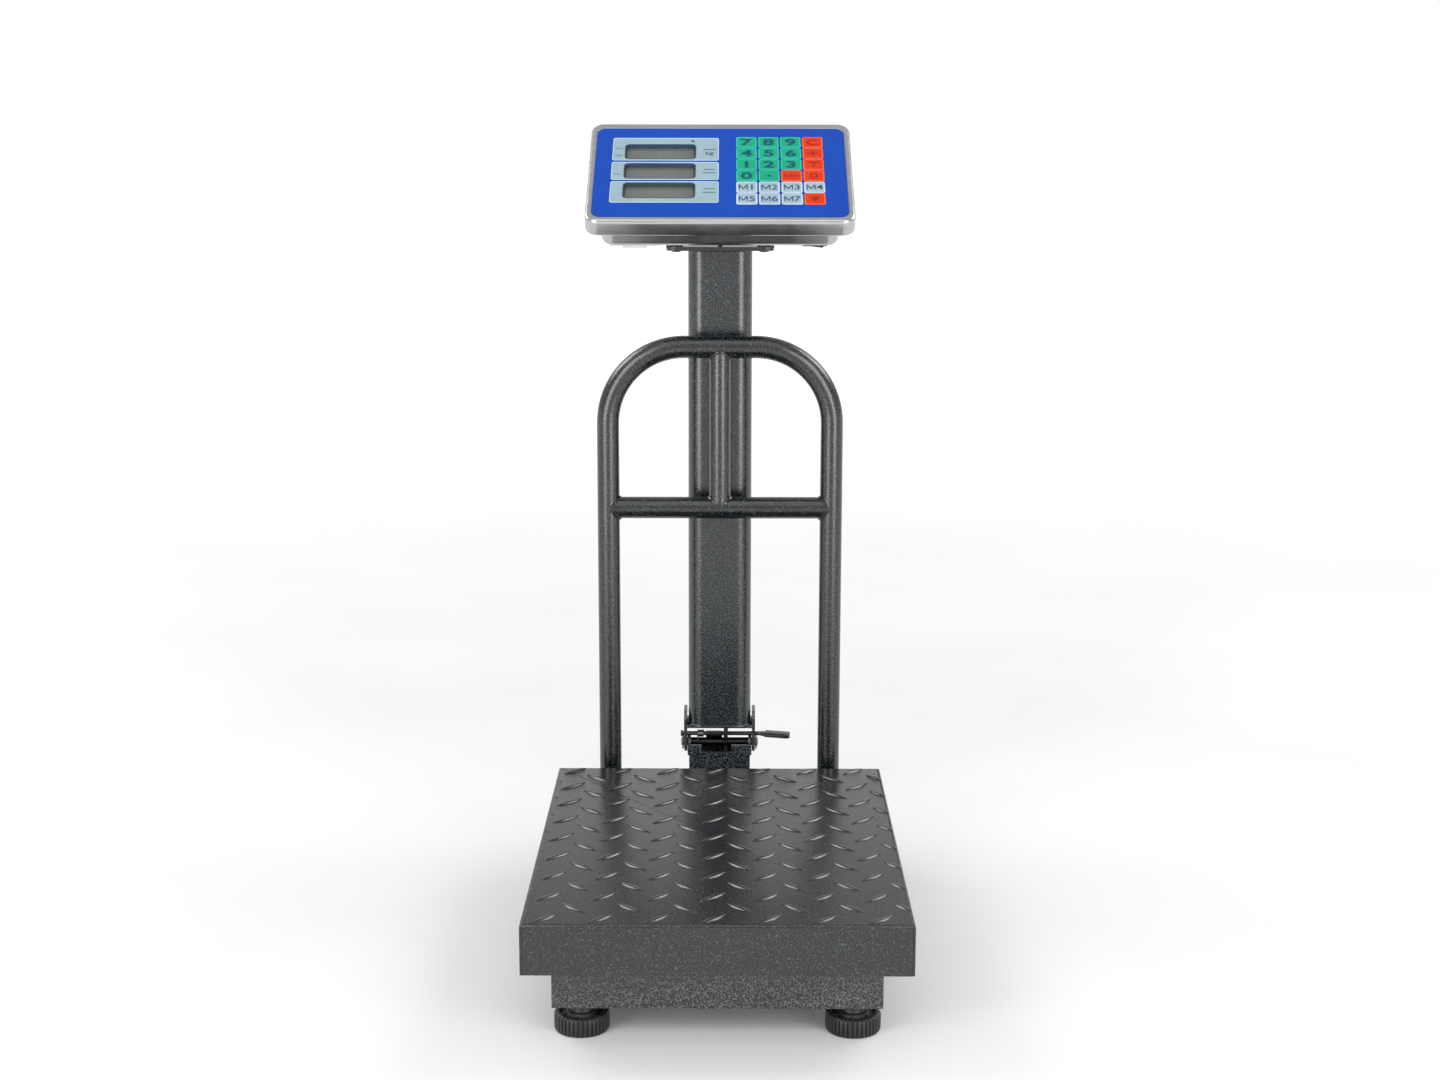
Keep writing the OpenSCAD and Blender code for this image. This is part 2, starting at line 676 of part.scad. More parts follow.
module charger_jack() {
    back = pan_d / 2 + lid_shift;
    color([0.07, 0.07, 0.08]) on_face() translate([jack_x, back + 1.5, jack_z]) rotate([90, 0, 0])
        difference() {
            union() {
                cylinder(h = 1.5, r = 7, $fn = round_fn);
                cylinder(h = 13, r = 5.4, $fn = round_fn);
            }
            translate([0, 0, -eps]) cylinder(h = jack_deep, r = jack_r, $fn = round_fn);
        }
}

// ---- Keys ----

module key(row, col, tint) {
    color(tint) on_face()
        translate([key_x0 + col * key_pitch[0], key_y0 - row * key_pitch[1], 0]) union() {
            round_box(key_w, key_d, 1.6, -2.4, key_top);
            round_box(key_w + 2 * key_flange, key_d + 2 * key_flange, 1.6, -2.4, -panel_t - 0.15);
        }
}

// ---- Signal cable ----

// Catmull-Rom curve through the route's points
function spline(a, b, c, d, t) =
    0.5 * (2 * b + (c - a) * t + (2 * a - 5 * b + 4 * c - d) * t * t + (3 * b - a - 3 * c + d) * t * t * t);

cable_last = len(cable_route) - 1;
cable_path = concat(
    [for (i = [0 : cable_last - 1], s = [0 : cable_steps - 1])
        spline(cable_route[max(i - 1, 0)], cable_route[i], cable_route[i + 1],
            cable_route[min(i + 2, cable_last)], s / cable_steps)],
    [cable_route[cable_last]]
);

function unit(v) = v / norm(v);

module sweep_tube(path, r, sides) {
    last = len(path) - 1;
    points = [for (i = [0 : last]) let (
        along = unit(path[min(i + 1, last)] - path[max(i - 1, 0)]),
        side = unit(cross(along, [1, 0, 0])),
        up = cross(side, along)
    ) for (k = [0 : sides - 1])
        path[i] + r * (cos(360 * k / sides) * side + sin(360 * k / sides) * up)];
    walls = [for (i = [0 : last - 1], k = [0 : sides - 1]) let (
        a = i * sides + k,
        b = i * sides + (k + 1) % sides
    ) each [[a, a + sides, b], [b, a + sides, b + sides]]];
    first_cap = [for (k = [0 : sides - 1]) k];
    last_cap = [for (k = [sides - 1 : -1 : 0]) last * sides + k];
    polyhedron(points, concat(walls, [first_cap], [last_cap]));
}

module signal_cable() {
    color([0.06, 0.06, 0.06]) sweep_tube(cable_path, cable_r, cable_sides);
}

digit_tint = [0.1, 0.72, 0.55];
action_tint = [0.9, 0.27, 0.1];
memory_tint = [0.68, 0.78, 0.82];

platform_cover();
cover_pads();
platform_frame();
load_cell();
base_frame();
frame_fasteners();
foot_stud(-foot_x, -foot_y);  // foot_stud_fl
foot_stud(foot_x, -foot_y);  // foot_stud_fr
foot_stud(-foot_x, foot_y);  // foot_stud_rl
foot_stud(foot_x, foot_y);  // foot_stud_rr
foot_wheel(-foot_x, -foot_y);  // foot_wheel_fl
foot_wheel(foot_x, -foot_y);  // foot_wheel_fr
foot_wheel(-foot_x, foot_y);  // foot_wheel_rl
foot_wheel(foot_x, foot_y);  // foot_wheel_rr
guard_hoop();
guard_bars();
rear_bracket();
hinge_lower_bracket();
hinge_pin();
hinge_upper_bracket();
latch_rod();
latch_spring();
column_tube();
column_top_plate();
head_bracket();
head_bolts();
head_pan();
head_lid();
front_overlay();
display_modules();
circuit_board();
battery();
battery_door();
power_rocker();
charger_jack();
signal_cable();
key(0, 0, digit_tint);  // key_7
key(0, 1, digit_tint);  // key_8
key(0, 2, digit_tint);  // key_9
key(0, 3, action_tint);  // key_clear
key(1, 0, digit_tint);  // key_4
key(1, 1, digit_tint);  // key_5
key(1, 2, digit_tint);  // key_6
key(1, 3, action_tint);  // key_add
key(2, 0, digit_tint);  // key_1
key(2, 1, digit_tint);  // key_2
key(2, 2, digit_tint);  // key_3
key(2, 3, action_tint);  // key_tare
key(3, 0, digit_tint);  // key_0
key(3, 1, digit_tint);  // key_dot
key(3, 2, action_tint);  // key_store
key(3, 3, action_tint);  // key_zero
key(4, 0, memory_tint);  // key_m1
key(4, 1, memory_tint);  // key_m2
key(4, 2, memory_tint);  // key_m3
key(4, 3, memory_tint);  // key_m4
key(5, 0, memory_tint);  // key_m5
key(5, 1, memory_tint);  // key_m6
key(5, 2, memory_tint);  // key_m7
key(5, 3, action_tint);  // key_lamp
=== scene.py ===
"""A folding platform scale: its looks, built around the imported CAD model.

Lengths are in millimetres until Piece.build() turns them into metres.
"""
import math
import random

import bmesh
import bpy
from mathutils import Matrix, Vector


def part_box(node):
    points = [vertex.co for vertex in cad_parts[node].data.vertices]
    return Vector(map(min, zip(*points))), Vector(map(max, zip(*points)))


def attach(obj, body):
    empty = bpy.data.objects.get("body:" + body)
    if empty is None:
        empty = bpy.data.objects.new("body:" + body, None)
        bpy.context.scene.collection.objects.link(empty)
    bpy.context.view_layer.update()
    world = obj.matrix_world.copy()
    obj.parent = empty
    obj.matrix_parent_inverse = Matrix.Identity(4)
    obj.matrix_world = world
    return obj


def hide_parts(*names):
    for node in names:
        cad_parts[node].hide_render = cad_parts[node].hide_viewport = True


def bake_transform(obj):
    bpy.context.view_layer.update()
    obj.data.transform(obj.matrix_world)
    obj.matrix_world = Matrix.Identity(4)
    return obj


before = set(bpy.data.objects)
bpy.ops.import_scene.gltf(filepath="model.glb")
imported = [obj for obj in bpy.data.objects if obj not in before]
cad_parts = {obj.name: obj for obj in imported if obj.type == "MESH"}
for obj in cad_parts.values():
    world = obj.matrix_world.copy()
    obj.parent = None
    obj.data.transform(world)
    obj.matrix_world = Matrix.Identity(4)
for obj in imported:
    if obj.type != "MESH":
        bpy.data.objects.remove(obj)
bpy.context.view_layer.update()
scene = bpy.context.scene
MM = 0.001


# ---- Camera ----

CAMERA_AT = (0.0061, -1.7467, 0.602)
CAMERA_LENS = 54.15
CAMERA_SENSOR = 36
LOOK_DOWN, LOOK_LEFT, ROLL = 11.18, 0.17, 0.09


def make_camera():
    """The camera, placed in metres and turned in degrees."""
    data = bpy.data.cameras.new("camera")
    data.sensor_width = CAMERA_SENSOR
    data.lens = CAMERA_LENS
    data.clip_end = 100
    camera = bpy.data.objects.new("camera", data)
    scene.collection.objects.link(camera)
    camera.matrix_world = (
        Matrix.Translation(CAMERA_AT)
        @ Matrix.Rotation(math.radians(LOOK_LEFT), 4, "Z")
        @ Matrix.Rotation(math.radians(90 - LOOK_DOWN), 4, "X")
        @ Matrix.Rotation(math.radians(ROLL), 4, "Z")
    )
    scene.camera = camera


make_camera()
scene.view_settings.view_transform = "Standard"


# ---- Sizes and places, most of them read from the frame ----

def node_box(name):
    low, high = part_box(name)
    return low / MM, high / MM


def middle(name):
    low, high = node_box(name)
    return (low + high) / 2


FACE_TILT = math.radians(31)
PANEL_T = 0.7
FACE_NORMAL = Vector((0, -math.sin(FACE_TILT), math.cos(FACE_TILT)))
FACE_CENTRE = middle("front_overlay") + FACE_NORMAL * PANEL_T / 2
ON_FACE = Matrix.Translation(FACE_CENTRE) @ Matrix.Rotation(FACE_TILT, 4, "X")

COVER_LOW, COVER_HIGH = node_box("platform_cover")
FLOOR_Z = node_box("foot_wheel_fl")[0].z
HOOP_LOW, HOOP_HIGH = node_box("guard_hoop")
TUBE_LOW, TUBE_HIGH = node_box("column_tube")
PIN = middle("hinge_pin")
LATCH = middle("latch_spring")

GUARD_R = (HOOP_HIGH.y - HOOP_LOW.y) / 2
GUARD_Y = (HOOP_HIGH.y + HOOP_LOW.y) / 2
GUARD_X = HOOP_HIGH.x - GUARD_R
GUARD_Z = HOOP_HIGH.z - GUARD_R
GUARD_BEND = 70
BAR_R = 10
CROSSBAR_Z = node_box("guard_bars")[0].z + BAR_R

# On the head's sloping face: X runs across, Y up the slope and Z out of it, from the panel's middle.
PANEL_SIZE = (228.5, 146.7)
LID_SIZE, LID_CORNER = (240, 163), 12
PAN_SIZE, PAN_CORNER = (213, 137), 11
LID_SHIFT = 1.5
LID_DEEP = 16.5
HEAD_DEEP = 38.0
DOOR_LOW, DOOR_HIGH = (-99, -60), (-55, 44)
SWITCH_AT = (85, -54)

KEY_SIZE = (18.8, 17.7)
KEY_GAP = 0.2
KEY_TOP = 0.45
KEY_ROWS = [
    ["7", "8", "9", "clear"], ["4", "5", "6", "add"], ["1", "2", "3", "tare"],
    ["0", "dot", "store", "zero"], ["m1", "m2", "m3", "m4"], ["m5", "m6", "m7", "lamp"],
]
KEY_X, KEY_Y = 23.8, 49.2
KEY_PITCH = (20.3, 18.8)
WINDOW = (64, 24)
WINDOW_X = -55
WINDOW_ROWS = (33, 0.7, -31.3)
BLOCK_ROWS = ((18.2, 56.3), (-14, 15.4), (-51, -16.7))
BLOCK_X = (-99, -1.5)
INK_T = 0.05


# ---- Shapes: outlines are (x, y) points, and each shape is (points, faces) ----

def turns(count):
    """Evenly spaced angles, once round."""
    return [2 * math.pi * k / count for k in range(count)]


def quarter(steps):
    """Angles from 0 to a right angle."""
    return [math.pi / 2 * i / steps for i in range(steps + 1)]


def circle(r, count, centre=(0, 0)):
    return [(centre[0] + r * math.cos(a), centre[1] + r * math.sin(a)) for a in turns(count)]


def loft(rings, start=True, end=True, joined=False):
    """Closed rings of equal length, skinned one to the next."""
    n = len(rings[0])
    points = [Vector(p) for ring in rings for p in ring]
    faces = []
    last = len(rings) if joined else len(rings) - 1
    for i in range(last):
        a, b = i * n, (i + 1) % len(rings) * n
        faces += [(a + k, a + (k + 1) % n, b + (k + 1) % n, b + k) for k in range(n)]
    if start and not joined:
        faces.append(tuple(range(n))[::-1])
    if end and not joined:
        faces.append(tuple(range((len(rings) - 1) * n, len(rings) * n)))
    return points, faces


def round_rect(w, d, r, steps, centre=(0, 0)):
    """A rectangle w by d, with corners rounded to r in that many steps."""
    out = []
    for sx, sy, first in ((1, 1, 0), (-1, 1, 90), (-1, -1, 180), (1, -1, 270)):
        corner_x = centre[0] + sx * (w / 2 - r)
        corner_y = centre[1] + sy * (d / 2 - r)
        for i in range(steps + 1):
            a = math.radians(first + 90 * i / steps)
            out.append((corner_x + r * math.cos(a), corner_y + r * math.sin(a)))
    return out


def ring_at(outline, z):
    return [(x, y, z) for x, y in outline]


def lathe(profile, sides, radius=None):
    """Turns a profile of (radius, height) about Z. radius(r, z, k) may change the radius round the turn."""
    rings = []
    for r, z in profile:
        radii = [radius(r, z, k) if radius else r for k in range(sides)]
        rings.append([(rr * math.cos(a), rr * math.sin(a), z) for rr, a in zip(radii, turns(sides))])
    return loft(rings)


def sweep(path, radius, sides, closed=False):
    """A round tube along a path. radius is a number, or a function of how far along the path (0 to 1)."""
    path = [Vector(p) for p in path]
    n = len(path)
    rings = []
    side = None
    for i, p in enumerate(path):
        before = path[i - 1] if (i or closed) else p
        after = path[(i + 1) % n] if (i < n - 1 or closed) else p
        along = (after - before).normalized()
        if side is None:
            side = along.cross(Vector((0.13, 0.27, 0.95))).normalized()
        side = (side - along * side.dot(along)).normalized()
        up = along.cross(side)
        r = radius(i / n) if callable(radius) else radius
        rings.append([p + r * (math.cos(t) * side + math.sin(t) * up) for t in turns(sides)])
    return loft(rings, joined=closed)


def soft_box(low, high, r):
    """A box with every edge rounded."""
    steps = 3
    w, d = high[0] - low[0], high[1] - low[1]
    centre = ((low[0] + high[0]) / 2, (low[1] + high[1]) / 2)
    levels = [(r * (1 - math.sin(a)), low[2] + r * (1 - math.cos(a))) for a in quarter(steps)]
    levels += [(r * (1 - math.sin(a)), high[2] - r * (1 - math.cos(a))) for a in reversed(quarter(steps))]
    return loft([ring_at(round_rect(w - 2 * inset, d - 2 * inset, r, steps, centre), z)
                 for inset, z in levels])


def holed_plate(outline, holes, z0, z1):
    """A flat plate with holes through it, from outlines in its own plane."""
    bm = bmesh.new()
    edges = []
    for loop in [outline] + holes:
        verts = [bm.verts.new((x, y, z1)) for x, y in loop]
        edges += [bm.edges.new((verts[i], verts[(i + 1) % len(verts)])) for i in range(len(verts))]
    bmesh.ops.triangle_fill(bm, use_beauty=True, use_dissolve=False, edges=edges)
    sheet = bm.faces[:]
    moved = bmesh.ops.extrude_face_region(bm, geom=sheet)["geom"]
    for v in moved:
        if isinstance(v, bmesh.types.BMVert):
            v.co.z = z0
    bm.verts.index_update()
    shape = ([v.co.copy() for v in bm.verts], [tuple(v.index for v in f.verts) for f in bm.faces])
    bm.free()
    return shape


def hexagon(flats, z0, z1):
    """A nut standing on Z, with its corners taken off at the top."""
    r = flats / 2 / math.cos(math.radians(30))
    levels = ((z0, 1), (z1 - 0.5, 1), (z1, 0.86))
    return loft([ring_at(circle(r * scale, 6), z) for z, scale in levels])


# ---- Pieces ----

class Piece:
    """Gathers shapes, each with its own material, into one object."""

    def __init__(self, name, *materials):
        self.name, self.materials = name, materials
        self.points, self.faces, self.paints = [], [], []

    def add(self, shape, paint=0, place=None):
        points, faces = shape
        start = len(self.points)
        self.points += [place @ Vector(p) if place else Vector(p) for p in points]
        self.faces += [tuple(i + start for i in f) for f in faces]
        self.paints += [paint] * len(faces)

    def build(self, body, replaces=(), place=None, smooth=40):
        """Makes the object. With body "", it is attached to no body."""
        matrix = Matrix.Scale(MM, 4) @ (place or Matrix.Identity(4))
        mesh = bpy.data.meshes.new(self.name)
        mesh.from_pydata([matrix @ p for p in self.points], [], self.faces)
        for material in self.materials:
            mesh.materials.append(material)
        mesh.polygons.foreach_set("material_index", self.paints)
        bm = bmesh.new()
        bm.from_mesh(mesh)
        bmesh.ops.recalc_face_normals(bm, faces=bm.faces)
        bm.to_mesh(mesh)
        bm.free()
        mesh.polygons.foreach_set("use_smooth", [True] * len(mesh.polygons))
        mesh.set_sharp_from_angle(angle=math.radians(smooth))
        mesh.update()
        obj = bpy.data.objects.new(self.name, mesh)
        scene.collection.objects.link(obj)
        if body:
            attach(obj, body)
        if replaces:
            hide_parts(*replaces)
        return obj


def dress(node, material, bevel=0.0):
    """Gives a CAD node its material and, where asked, slightly rounded edges."""
    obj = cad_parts[node]
    obj.data.materials.clear()
    obj.data.materials.append(material)
    if bevel:
        weld = obj.modifiers.new("weld", "WELD")
        weld.merge_threshold = 1e-5
        mod = obj.modifiers.new("edge", "BEVEL")
        mod.width = bevel * MM
        mod.segments = 2
        mod.limit_method = "ANGLE"
        mod.angle_limit = math.radians(40)
        mod.use_clamp_overlap = True


# ---- Materials ----

class Paint:
    """A node material with its Principled shader, and short ways to add nodes."""

    def __init__(self, name, **sockets):
        self.material = bpy.data.materials.new(name)
        self.material.use_nodes = True
        self.tree = self.material.node_tree
        self.shader = self.tree.nodes["Principled BSDF"]
        self.coords = self.node("ShaderNodeTexCoord")
        for key, value in sockets.items():
            self.shader.inputs[key.replace("_", " ")].default_value = value

    def node(self, kind, **inputs):
        new = self.tree.nodes.new(kind)
        for key, value in inputs.items():
            new.inputs[key.replace("_", " ")].default_value = value
        return new

    def link(self, out, into):
        self.tree.links.new(out, into)

    def stretched(self, scale):
        """Object coordinates, scaled along each axis."""
        mapping = self.node("ShaderNodeMapping", Scale=scale)
        self.link(self.coords.outputs["Object"], mapping.inputs["Vector"])
        return mapping.outputs["Vector"]

    def noise(self, scale, detail=2.0, roughness=0.5, distortion=0.0, vector=None):
        new = self.node("ShaderNodeTexNoise", Scale=scale, Detail=detail, Roughness=roughness,
                        Distortion=distortion)
        self.link(vector or self.coords.outputs["Object"], new.inputs["Vector"])
        return new.outputs["Fac"]

    def ramp(self, value, stops):
        new = self.node("ShaderNodeValToRGB")
        while len(new.color_ramp.elements) < len(stops):
            new.color_ramp.elements.new(0.5)
        for element, (at, colour) in zip(new.color_ramp.elements, stops):
            element.position = at
            element.color = (*colour, 1)
        self.link(value, new.inputs["Fac"])
        return new.outputs["Color"]

    def spread(self, value, low, high, start=0.3, stop=0.7):
        """Maps start to stop, the usual range of a noise, on to low to high."""
        new = self.node("ShaderNodeMapRange")
        new.inputs["From Min"].default_value = start
        new.inputs["From Max"].default_value = stop
        new.inputs["To Min"].default_value = low
        new.inputs["To Max"].default_value = high
        self.link(value, new.inputs["Value"])
        return new.outputs["Result"]

    def blend(self, a, b, share):
        """Mixes colours a and b. a may be a colour or a node's output, and share is an output."""
        new = self.tree.nodes.new("ShaderNodeMix")
        new.data_type = "RGBA"
        factor, first, second = new.inputs[0], new.inputs[6], new.inputs[7]
        if isinstance(a, tuple):
            first.default_value = (*a, 1)
        else:
            self.link(a, first)
        second.default_value = (*b, 1)
        self.link(share, factor)
        return new.outputs[2]

    def colour(self, value):
        self.link(value, self.shader.inputs["Base Color"])

    def rough(self, value):
        self.link(value, self.shader.inputs["Roughness"])

    def bump(self, value, strength, distance):
        new = self.node("ShaderNodeBump", Strength=strength, Distance=distance)
        self.link(value, new.inputs["Height"])
        self.link(new.outputs["Normal"], self.shader.inputs["Normal"])


def srgb(r, g, b):
    """Linear colour from 0 to 255 display values."""
    return tuple(((c / 255 + 0.055) / 1.055) ** 2.4 if c > 10 else c / 255 / 12.92 for c in (r, g, b))


def hammertone(name, dark, light, bump=0.4, gloss=(0.13, 0.26), ground=0.46):
    """Stoved hammertone paint: pale flecks and dimples on a dark, glossy ground.

    A higher ground leaves more of the dark showing.
    """
    speck = 0.0012
    p = Paint(name, Specular_IOR_Level=0.85)
    worm = p.noise(1 / speck, detail=2.0, roughness=0.55, distortion=0.6)
    cloud = p.noise(9.0, detail=3.0)
    flecks = p.ramp(worm, [(ground, dark), (ground + 0.12, light)])
    p.colour(p.blend(flecks, dark, p.spread(cloud, 0.0, 0.3)))
    p.rough(p.spread(worm, gloss[1], gloss[0]))
    p.bump(worm, bump, 0.0004)
    return p.material


def plated_steel(name, colour):
    """Plated or plain metal with a fine drawn streak."""
    p = Paint(name, Metallic=1.0)
    streak = p.noise(240, detail=4, roughness=0.6, vector=p.stretched((1, 1, 6)))
    tone = srgb(*colour)
    p.colour(p.blend(tone, tuple(c * 0.62 for c in tone), p.spread(streak, 0, 1)))
    p.rough(p.spread(streak, 0.24, 0.42))
    p.bump(streak, 0.08, 0.0002)
    return p.material


def brushed_steel(name):
    """Stainless sheet, brushed along X, with faint wipe marks."""
    p = Paint(name, Metallic=1.0, Anisotropic=0.3)
    grain = p.noise(1.0, detail=5, roughness=0.65, vector=p.stretched((14, 1300, 1300)))
    wipe = p.noise(22, detail=3, distortion=0.6)
    p.colour(p.blend(srgb(205, 205, 205), srgb(170, 171, 172), p.spread(grain, 0, 1)))
    p.rough(p.spread(wipe, 0.16, 0.27))
    p.bump(grain, 0.06, 0.0001)
    return p.material


def moulded(name, colour, rough=(0.4, 0.55)):
    """Moulded plastic or rubber with a fine spark-eroded grain."""
    p = Paint(name)
    fine = p.noise(2600, detail=2)
    broad = p.noise(60, detail=3)
    tone = srgb(*colour)
    p.colour(p.blend(tone, tuple(c * 0.75 for c in tone), p.spread(broad, 0, 0.7)))
    p.rough(p.spread(fine, *rough))
    p.bump(fine, 0.12, 0.0002)
    return p.material


def film(name, colour):
    """Printed polycarbonate film or a smooth key: even ink under a faint orange-peel surface."""
    p = Paint(name, Specular_IOR_Level=0.15)
    peel = p.noise(900, detail=2)
    ink = p.noise(35, detail=2)
    tone = srgb(*colour)
    p.colour(p.blend(tone, tuple(c * 0.9 for c in tone), p.spread(ink, 0, 1)))
    p.rough(p.spread(peel, 0.3, 0.4))
    p.bump(peel, 0.05, 0.0002)
    return p.material


def liquid_crystal(name):
    """Grey-green reflective display with a faint segment grid under clear glass."""
    p = Paint(name, Coat_Weight=0.3, Coat_Roughness=0.05)
    grid = p.node("ShaderNodeTexWave", Scale=160, Distortion=0)
    grid.bands_direction = "X"
    p.link(p.coords.outputs["Object"], grid.inputs["Vector"])
    cloud = p.noise(30, detail=2)
    ground = p.blend(srgb(94, 99, 94), srgb(84, 90, 86), p.spread(cloud, 0, 1))
    p.colour(p.blend(ground, srgb(76, 82, 78), p.spread(grid.outputs["Fac"], 0, 0.12)))
    p.rough(p.spread(cloud, 0.24, 0.34))
    return p.material


def floor_material():
    """A pale sweep, lit from below further out, as a light table is."""
    p = Paint("floor", Roughness=0.8, Specular_IOR_Level=0.1)
    p.shader.inputs["Emission Color"].default_value = (1, 1, 1, 1)
    away = p.node("ShaderNodeVectorMath")
    away.operation = "LENGTH"
    p.link(p.coords.outputs["Object"], away.inputs[0])
    p.link(p.spread(away.outputs["Value"], 0.05, 0.6, 0.9, 3.2), p.shader.inputs["Emission Strength"])
    cloud = p.noise(3, detail=2)
    p.colour(p.blend(srgb(217, 217, 217), srgb(213, 213, 213), p.spread(cloud, 0, 1)))
    return p.material


COVER = hammertone("cover_paint", srgb(3, 4, 5), srgb(70, 78, 84), bump=0.3, ground=0.56)
FRAME = hammertone("frame_paint", srgb(4, 4, 5), srgb(92, 94, 96), ground=0.49)
GUARD = hammertone("guard_paint", srgb(3, 4, 5), srgb(66, 74, 79), gloss=(0.1, 0.2), ground=0.54)
COLUMN = hammertone("column_paint", srgb(3, 4, 5), srgb(70, 79, 85), gloss=(0.1, 0.2), ground=0.52)
# Painted shade: a darkened copy of the hammertone for the latch rod and the plates under the head.
SHADED_BRACKET = hammertone("bracket_paint", srgb(6, 7, 8), srgb(44, 48, 52), bump=0.3)
HINGE = hammertone("hinge_paint", srgb(8, 9, 10), srgb(86, 92, 96), bump=0.3, gloss=(0.1, 0.2))
STAINLESS = brushed_steel("stainless")
ZINC = plated_steel("zinc_steel", (150, 152, 155))
DARK_ZINC = plated_steel("black_zinc", (62, 64, 68))
ALUMINIUM = plated_steel("aluminium", (190, 192, 195))
FOOT = moulded("foot_plastic", (38, 40, 42), rough=(0.38, 0.5))
RUBBER = moulded("rubber", (24, 24, 24), rough=(0.6, 0.8))
BLACK = moulded("black_plastic", (26, 27, 29), rough=(0.25, 0.4))
PALE = moulded("pale_plastic", (214, 213, 208))
BLUE = film("panel_blue", (0, 62, 160))
BOARD = moulded("board_green", (18, 84, 44), rough=(0.3, 0.5))
PALE_PRINT = film("display_print", (138, 162, 172))
# A lighter copy of the display print for the raised border round each block: a painted highlight.
PALE_BORDER_HIGHLIGHT = film("display_border_highlight", (176, 200, 208))
GREEN = film("key_digit", (8, 150, 114))
# Each key style has a lighter copy of its colour for the key's raised rim: a painted highlight.
GREEN_RIM_HIGHLIGHT = film("key_digit_rim_highlight", (44, 180, 146))
ORANGE = film("key_action", (200, 46, 4))
ORANGE_RIM_HIGHLIGHT = film("key_action_rim_highlight", (226, 96, 34))
MEMORY = film("key_memory", (142, 166, 180))
MEMORY_RIM_HIGHLIGHT = film("key_memory_rim_highlight", (184, 204, 212))
INK = film("dark_ink", (6, 74, 92))
RED_INK = film("red_ink", (150, 30, 8))
GREY_INK = film("grey_ink", (52, 72, 84))
WINDOW_WALL = film("window_wall", (66, 78, 78))
CRYSTAL = liquid_crystal("display_lens")
CABLE = moulded("cable_jacket", (16, 16, 17), rough=(0.45, 0.6))


# ---- Platform cover ----

LUG_PITCH = (43.0, 47.4)
LUG_FIRST = (-133.0, -93.7)
LUG_LENGTH, LUG_WIDTH, LUG_HEIGHT = 30.0, 6.4, 1.2
LUG_SECTION = (
    (-1.0, -0.12), (-0.9, 0.15), (-0.68, 0.82), (-0.54, 1.0), (0, 1.05),
    (0.54, 1.0), (0.68, 0.82), (0.9, 0.15), (1.0, -0.12),
)
SKIRT_LUG = 0.22  # share of a lug's height that shows on a skirt
BEND_R = 2.2
SHEET = 2.0


def cover_ring(inset, z, groove):
    """One outline of the cover, with a narrow seam near each corner on the front and back."""
    hx, hy = COVER_HIGH.x - inset, COVER_HIGH.y - inset
    seam, half_seam = COVER_HIGH.x - SHEET, 0.25
    r = 0.5
    out = []
    for sx, sy in ((1, 1), (-1, 1), (-1, -1), (1, -1)):
        corner = [(sx * hx, sy * (hy - r)), (sx * (hx - r * 0.3), sy * (hy - r * 0.3)),
                  (sx * (hx - r), sy * hy)]
        notch = [(sx * (seam + half_seam), sy * hy), (sx * (seam + half_seam * 0.6), sy * (hy - groove)),
                 (sx * (seam - half_seam * 0.6), sy * (hy - groove)), (sx * (seam - half_seam), sy * hy)]
        run = corner + notch
        out += run if sx * sy > 0 else run[::-1]
    return [(x, y, z) for x, y in out]


def on_sheet(x, y, h):
    """Where a point of the unfolded tread plate, h above its face, lies once the edges are bent down."""
    flat_x, flat_y = COVER_HIGH.x - BEND_R, COVER_HIGH.y - BEND_R
    over_x, over_y = abs(x) - flat_x, abs(y) - flat_y
    past = max(over_x, over_y)
    if past <= 0:
        return Vector((x, y, h))
    turn = min(past / BEND_R, math.pi / 2)
    out = (BEND_R + h) * math.sin(turn)
    down = BEND_R - (BEND_R + h) * math.cos(turn) + max(past - BEND_R * math.pi / 2, 0)
    down = min(down, COVER_HIGH.z - COVER_LOW.z - 0.4)
    if over_y > over_x:
        return Vector((max(-COVER_HIGH.x, min(COVER_HIGH.x, x)), math.copysign(flat_y + out, y), -down))
    return Vector((math.copysign(flat_x + out, x), max(-COVER_HIGH.y, min(COVER_HIGH.y, y)), -down))


def lug_share(x, y):
    """How much of a lug's height is left: all of it on the face, none on a bend, a little on a skirt."""
    past = max(abs(x) - COVER_HIGH.x, abs(y) - COVER_HIGH.y)
    if past < 0:
        return min(1, -past / 5)
    return min(SKIRT_LUG, past / 12)


def lug(cx, cy, slope):
    """One lens-shaped tread lug at 45 degrees on the plate."""
    along = Vector((1, slope)).normalized()
    across = Vector((-along.y, along.x))
    stations = 12
    rings = []
    for i in range(stations + 1):
        t = -1 + 2 * i / stations
        half = LUG_WIDTH / 2 * max(0.04, (1 - t * t)) ** 0.85
        rise = LUG_HEIGHT * max(0.1, (1 - t * t)) ** 0.5
        ring = []
        for s, h in LUG_SECTION:
            x = cx + along.x * t * LUG_LENGTH / 2 + across.x * s * half
            y = cy + along.y * t * LUG_LENGTH / 2 + across.y * s * half
            ring.append(on_sheet(x, y, h * rise * lug_share(x, y) - 0.05))
        rings.append(ring)
    return loft(rings)


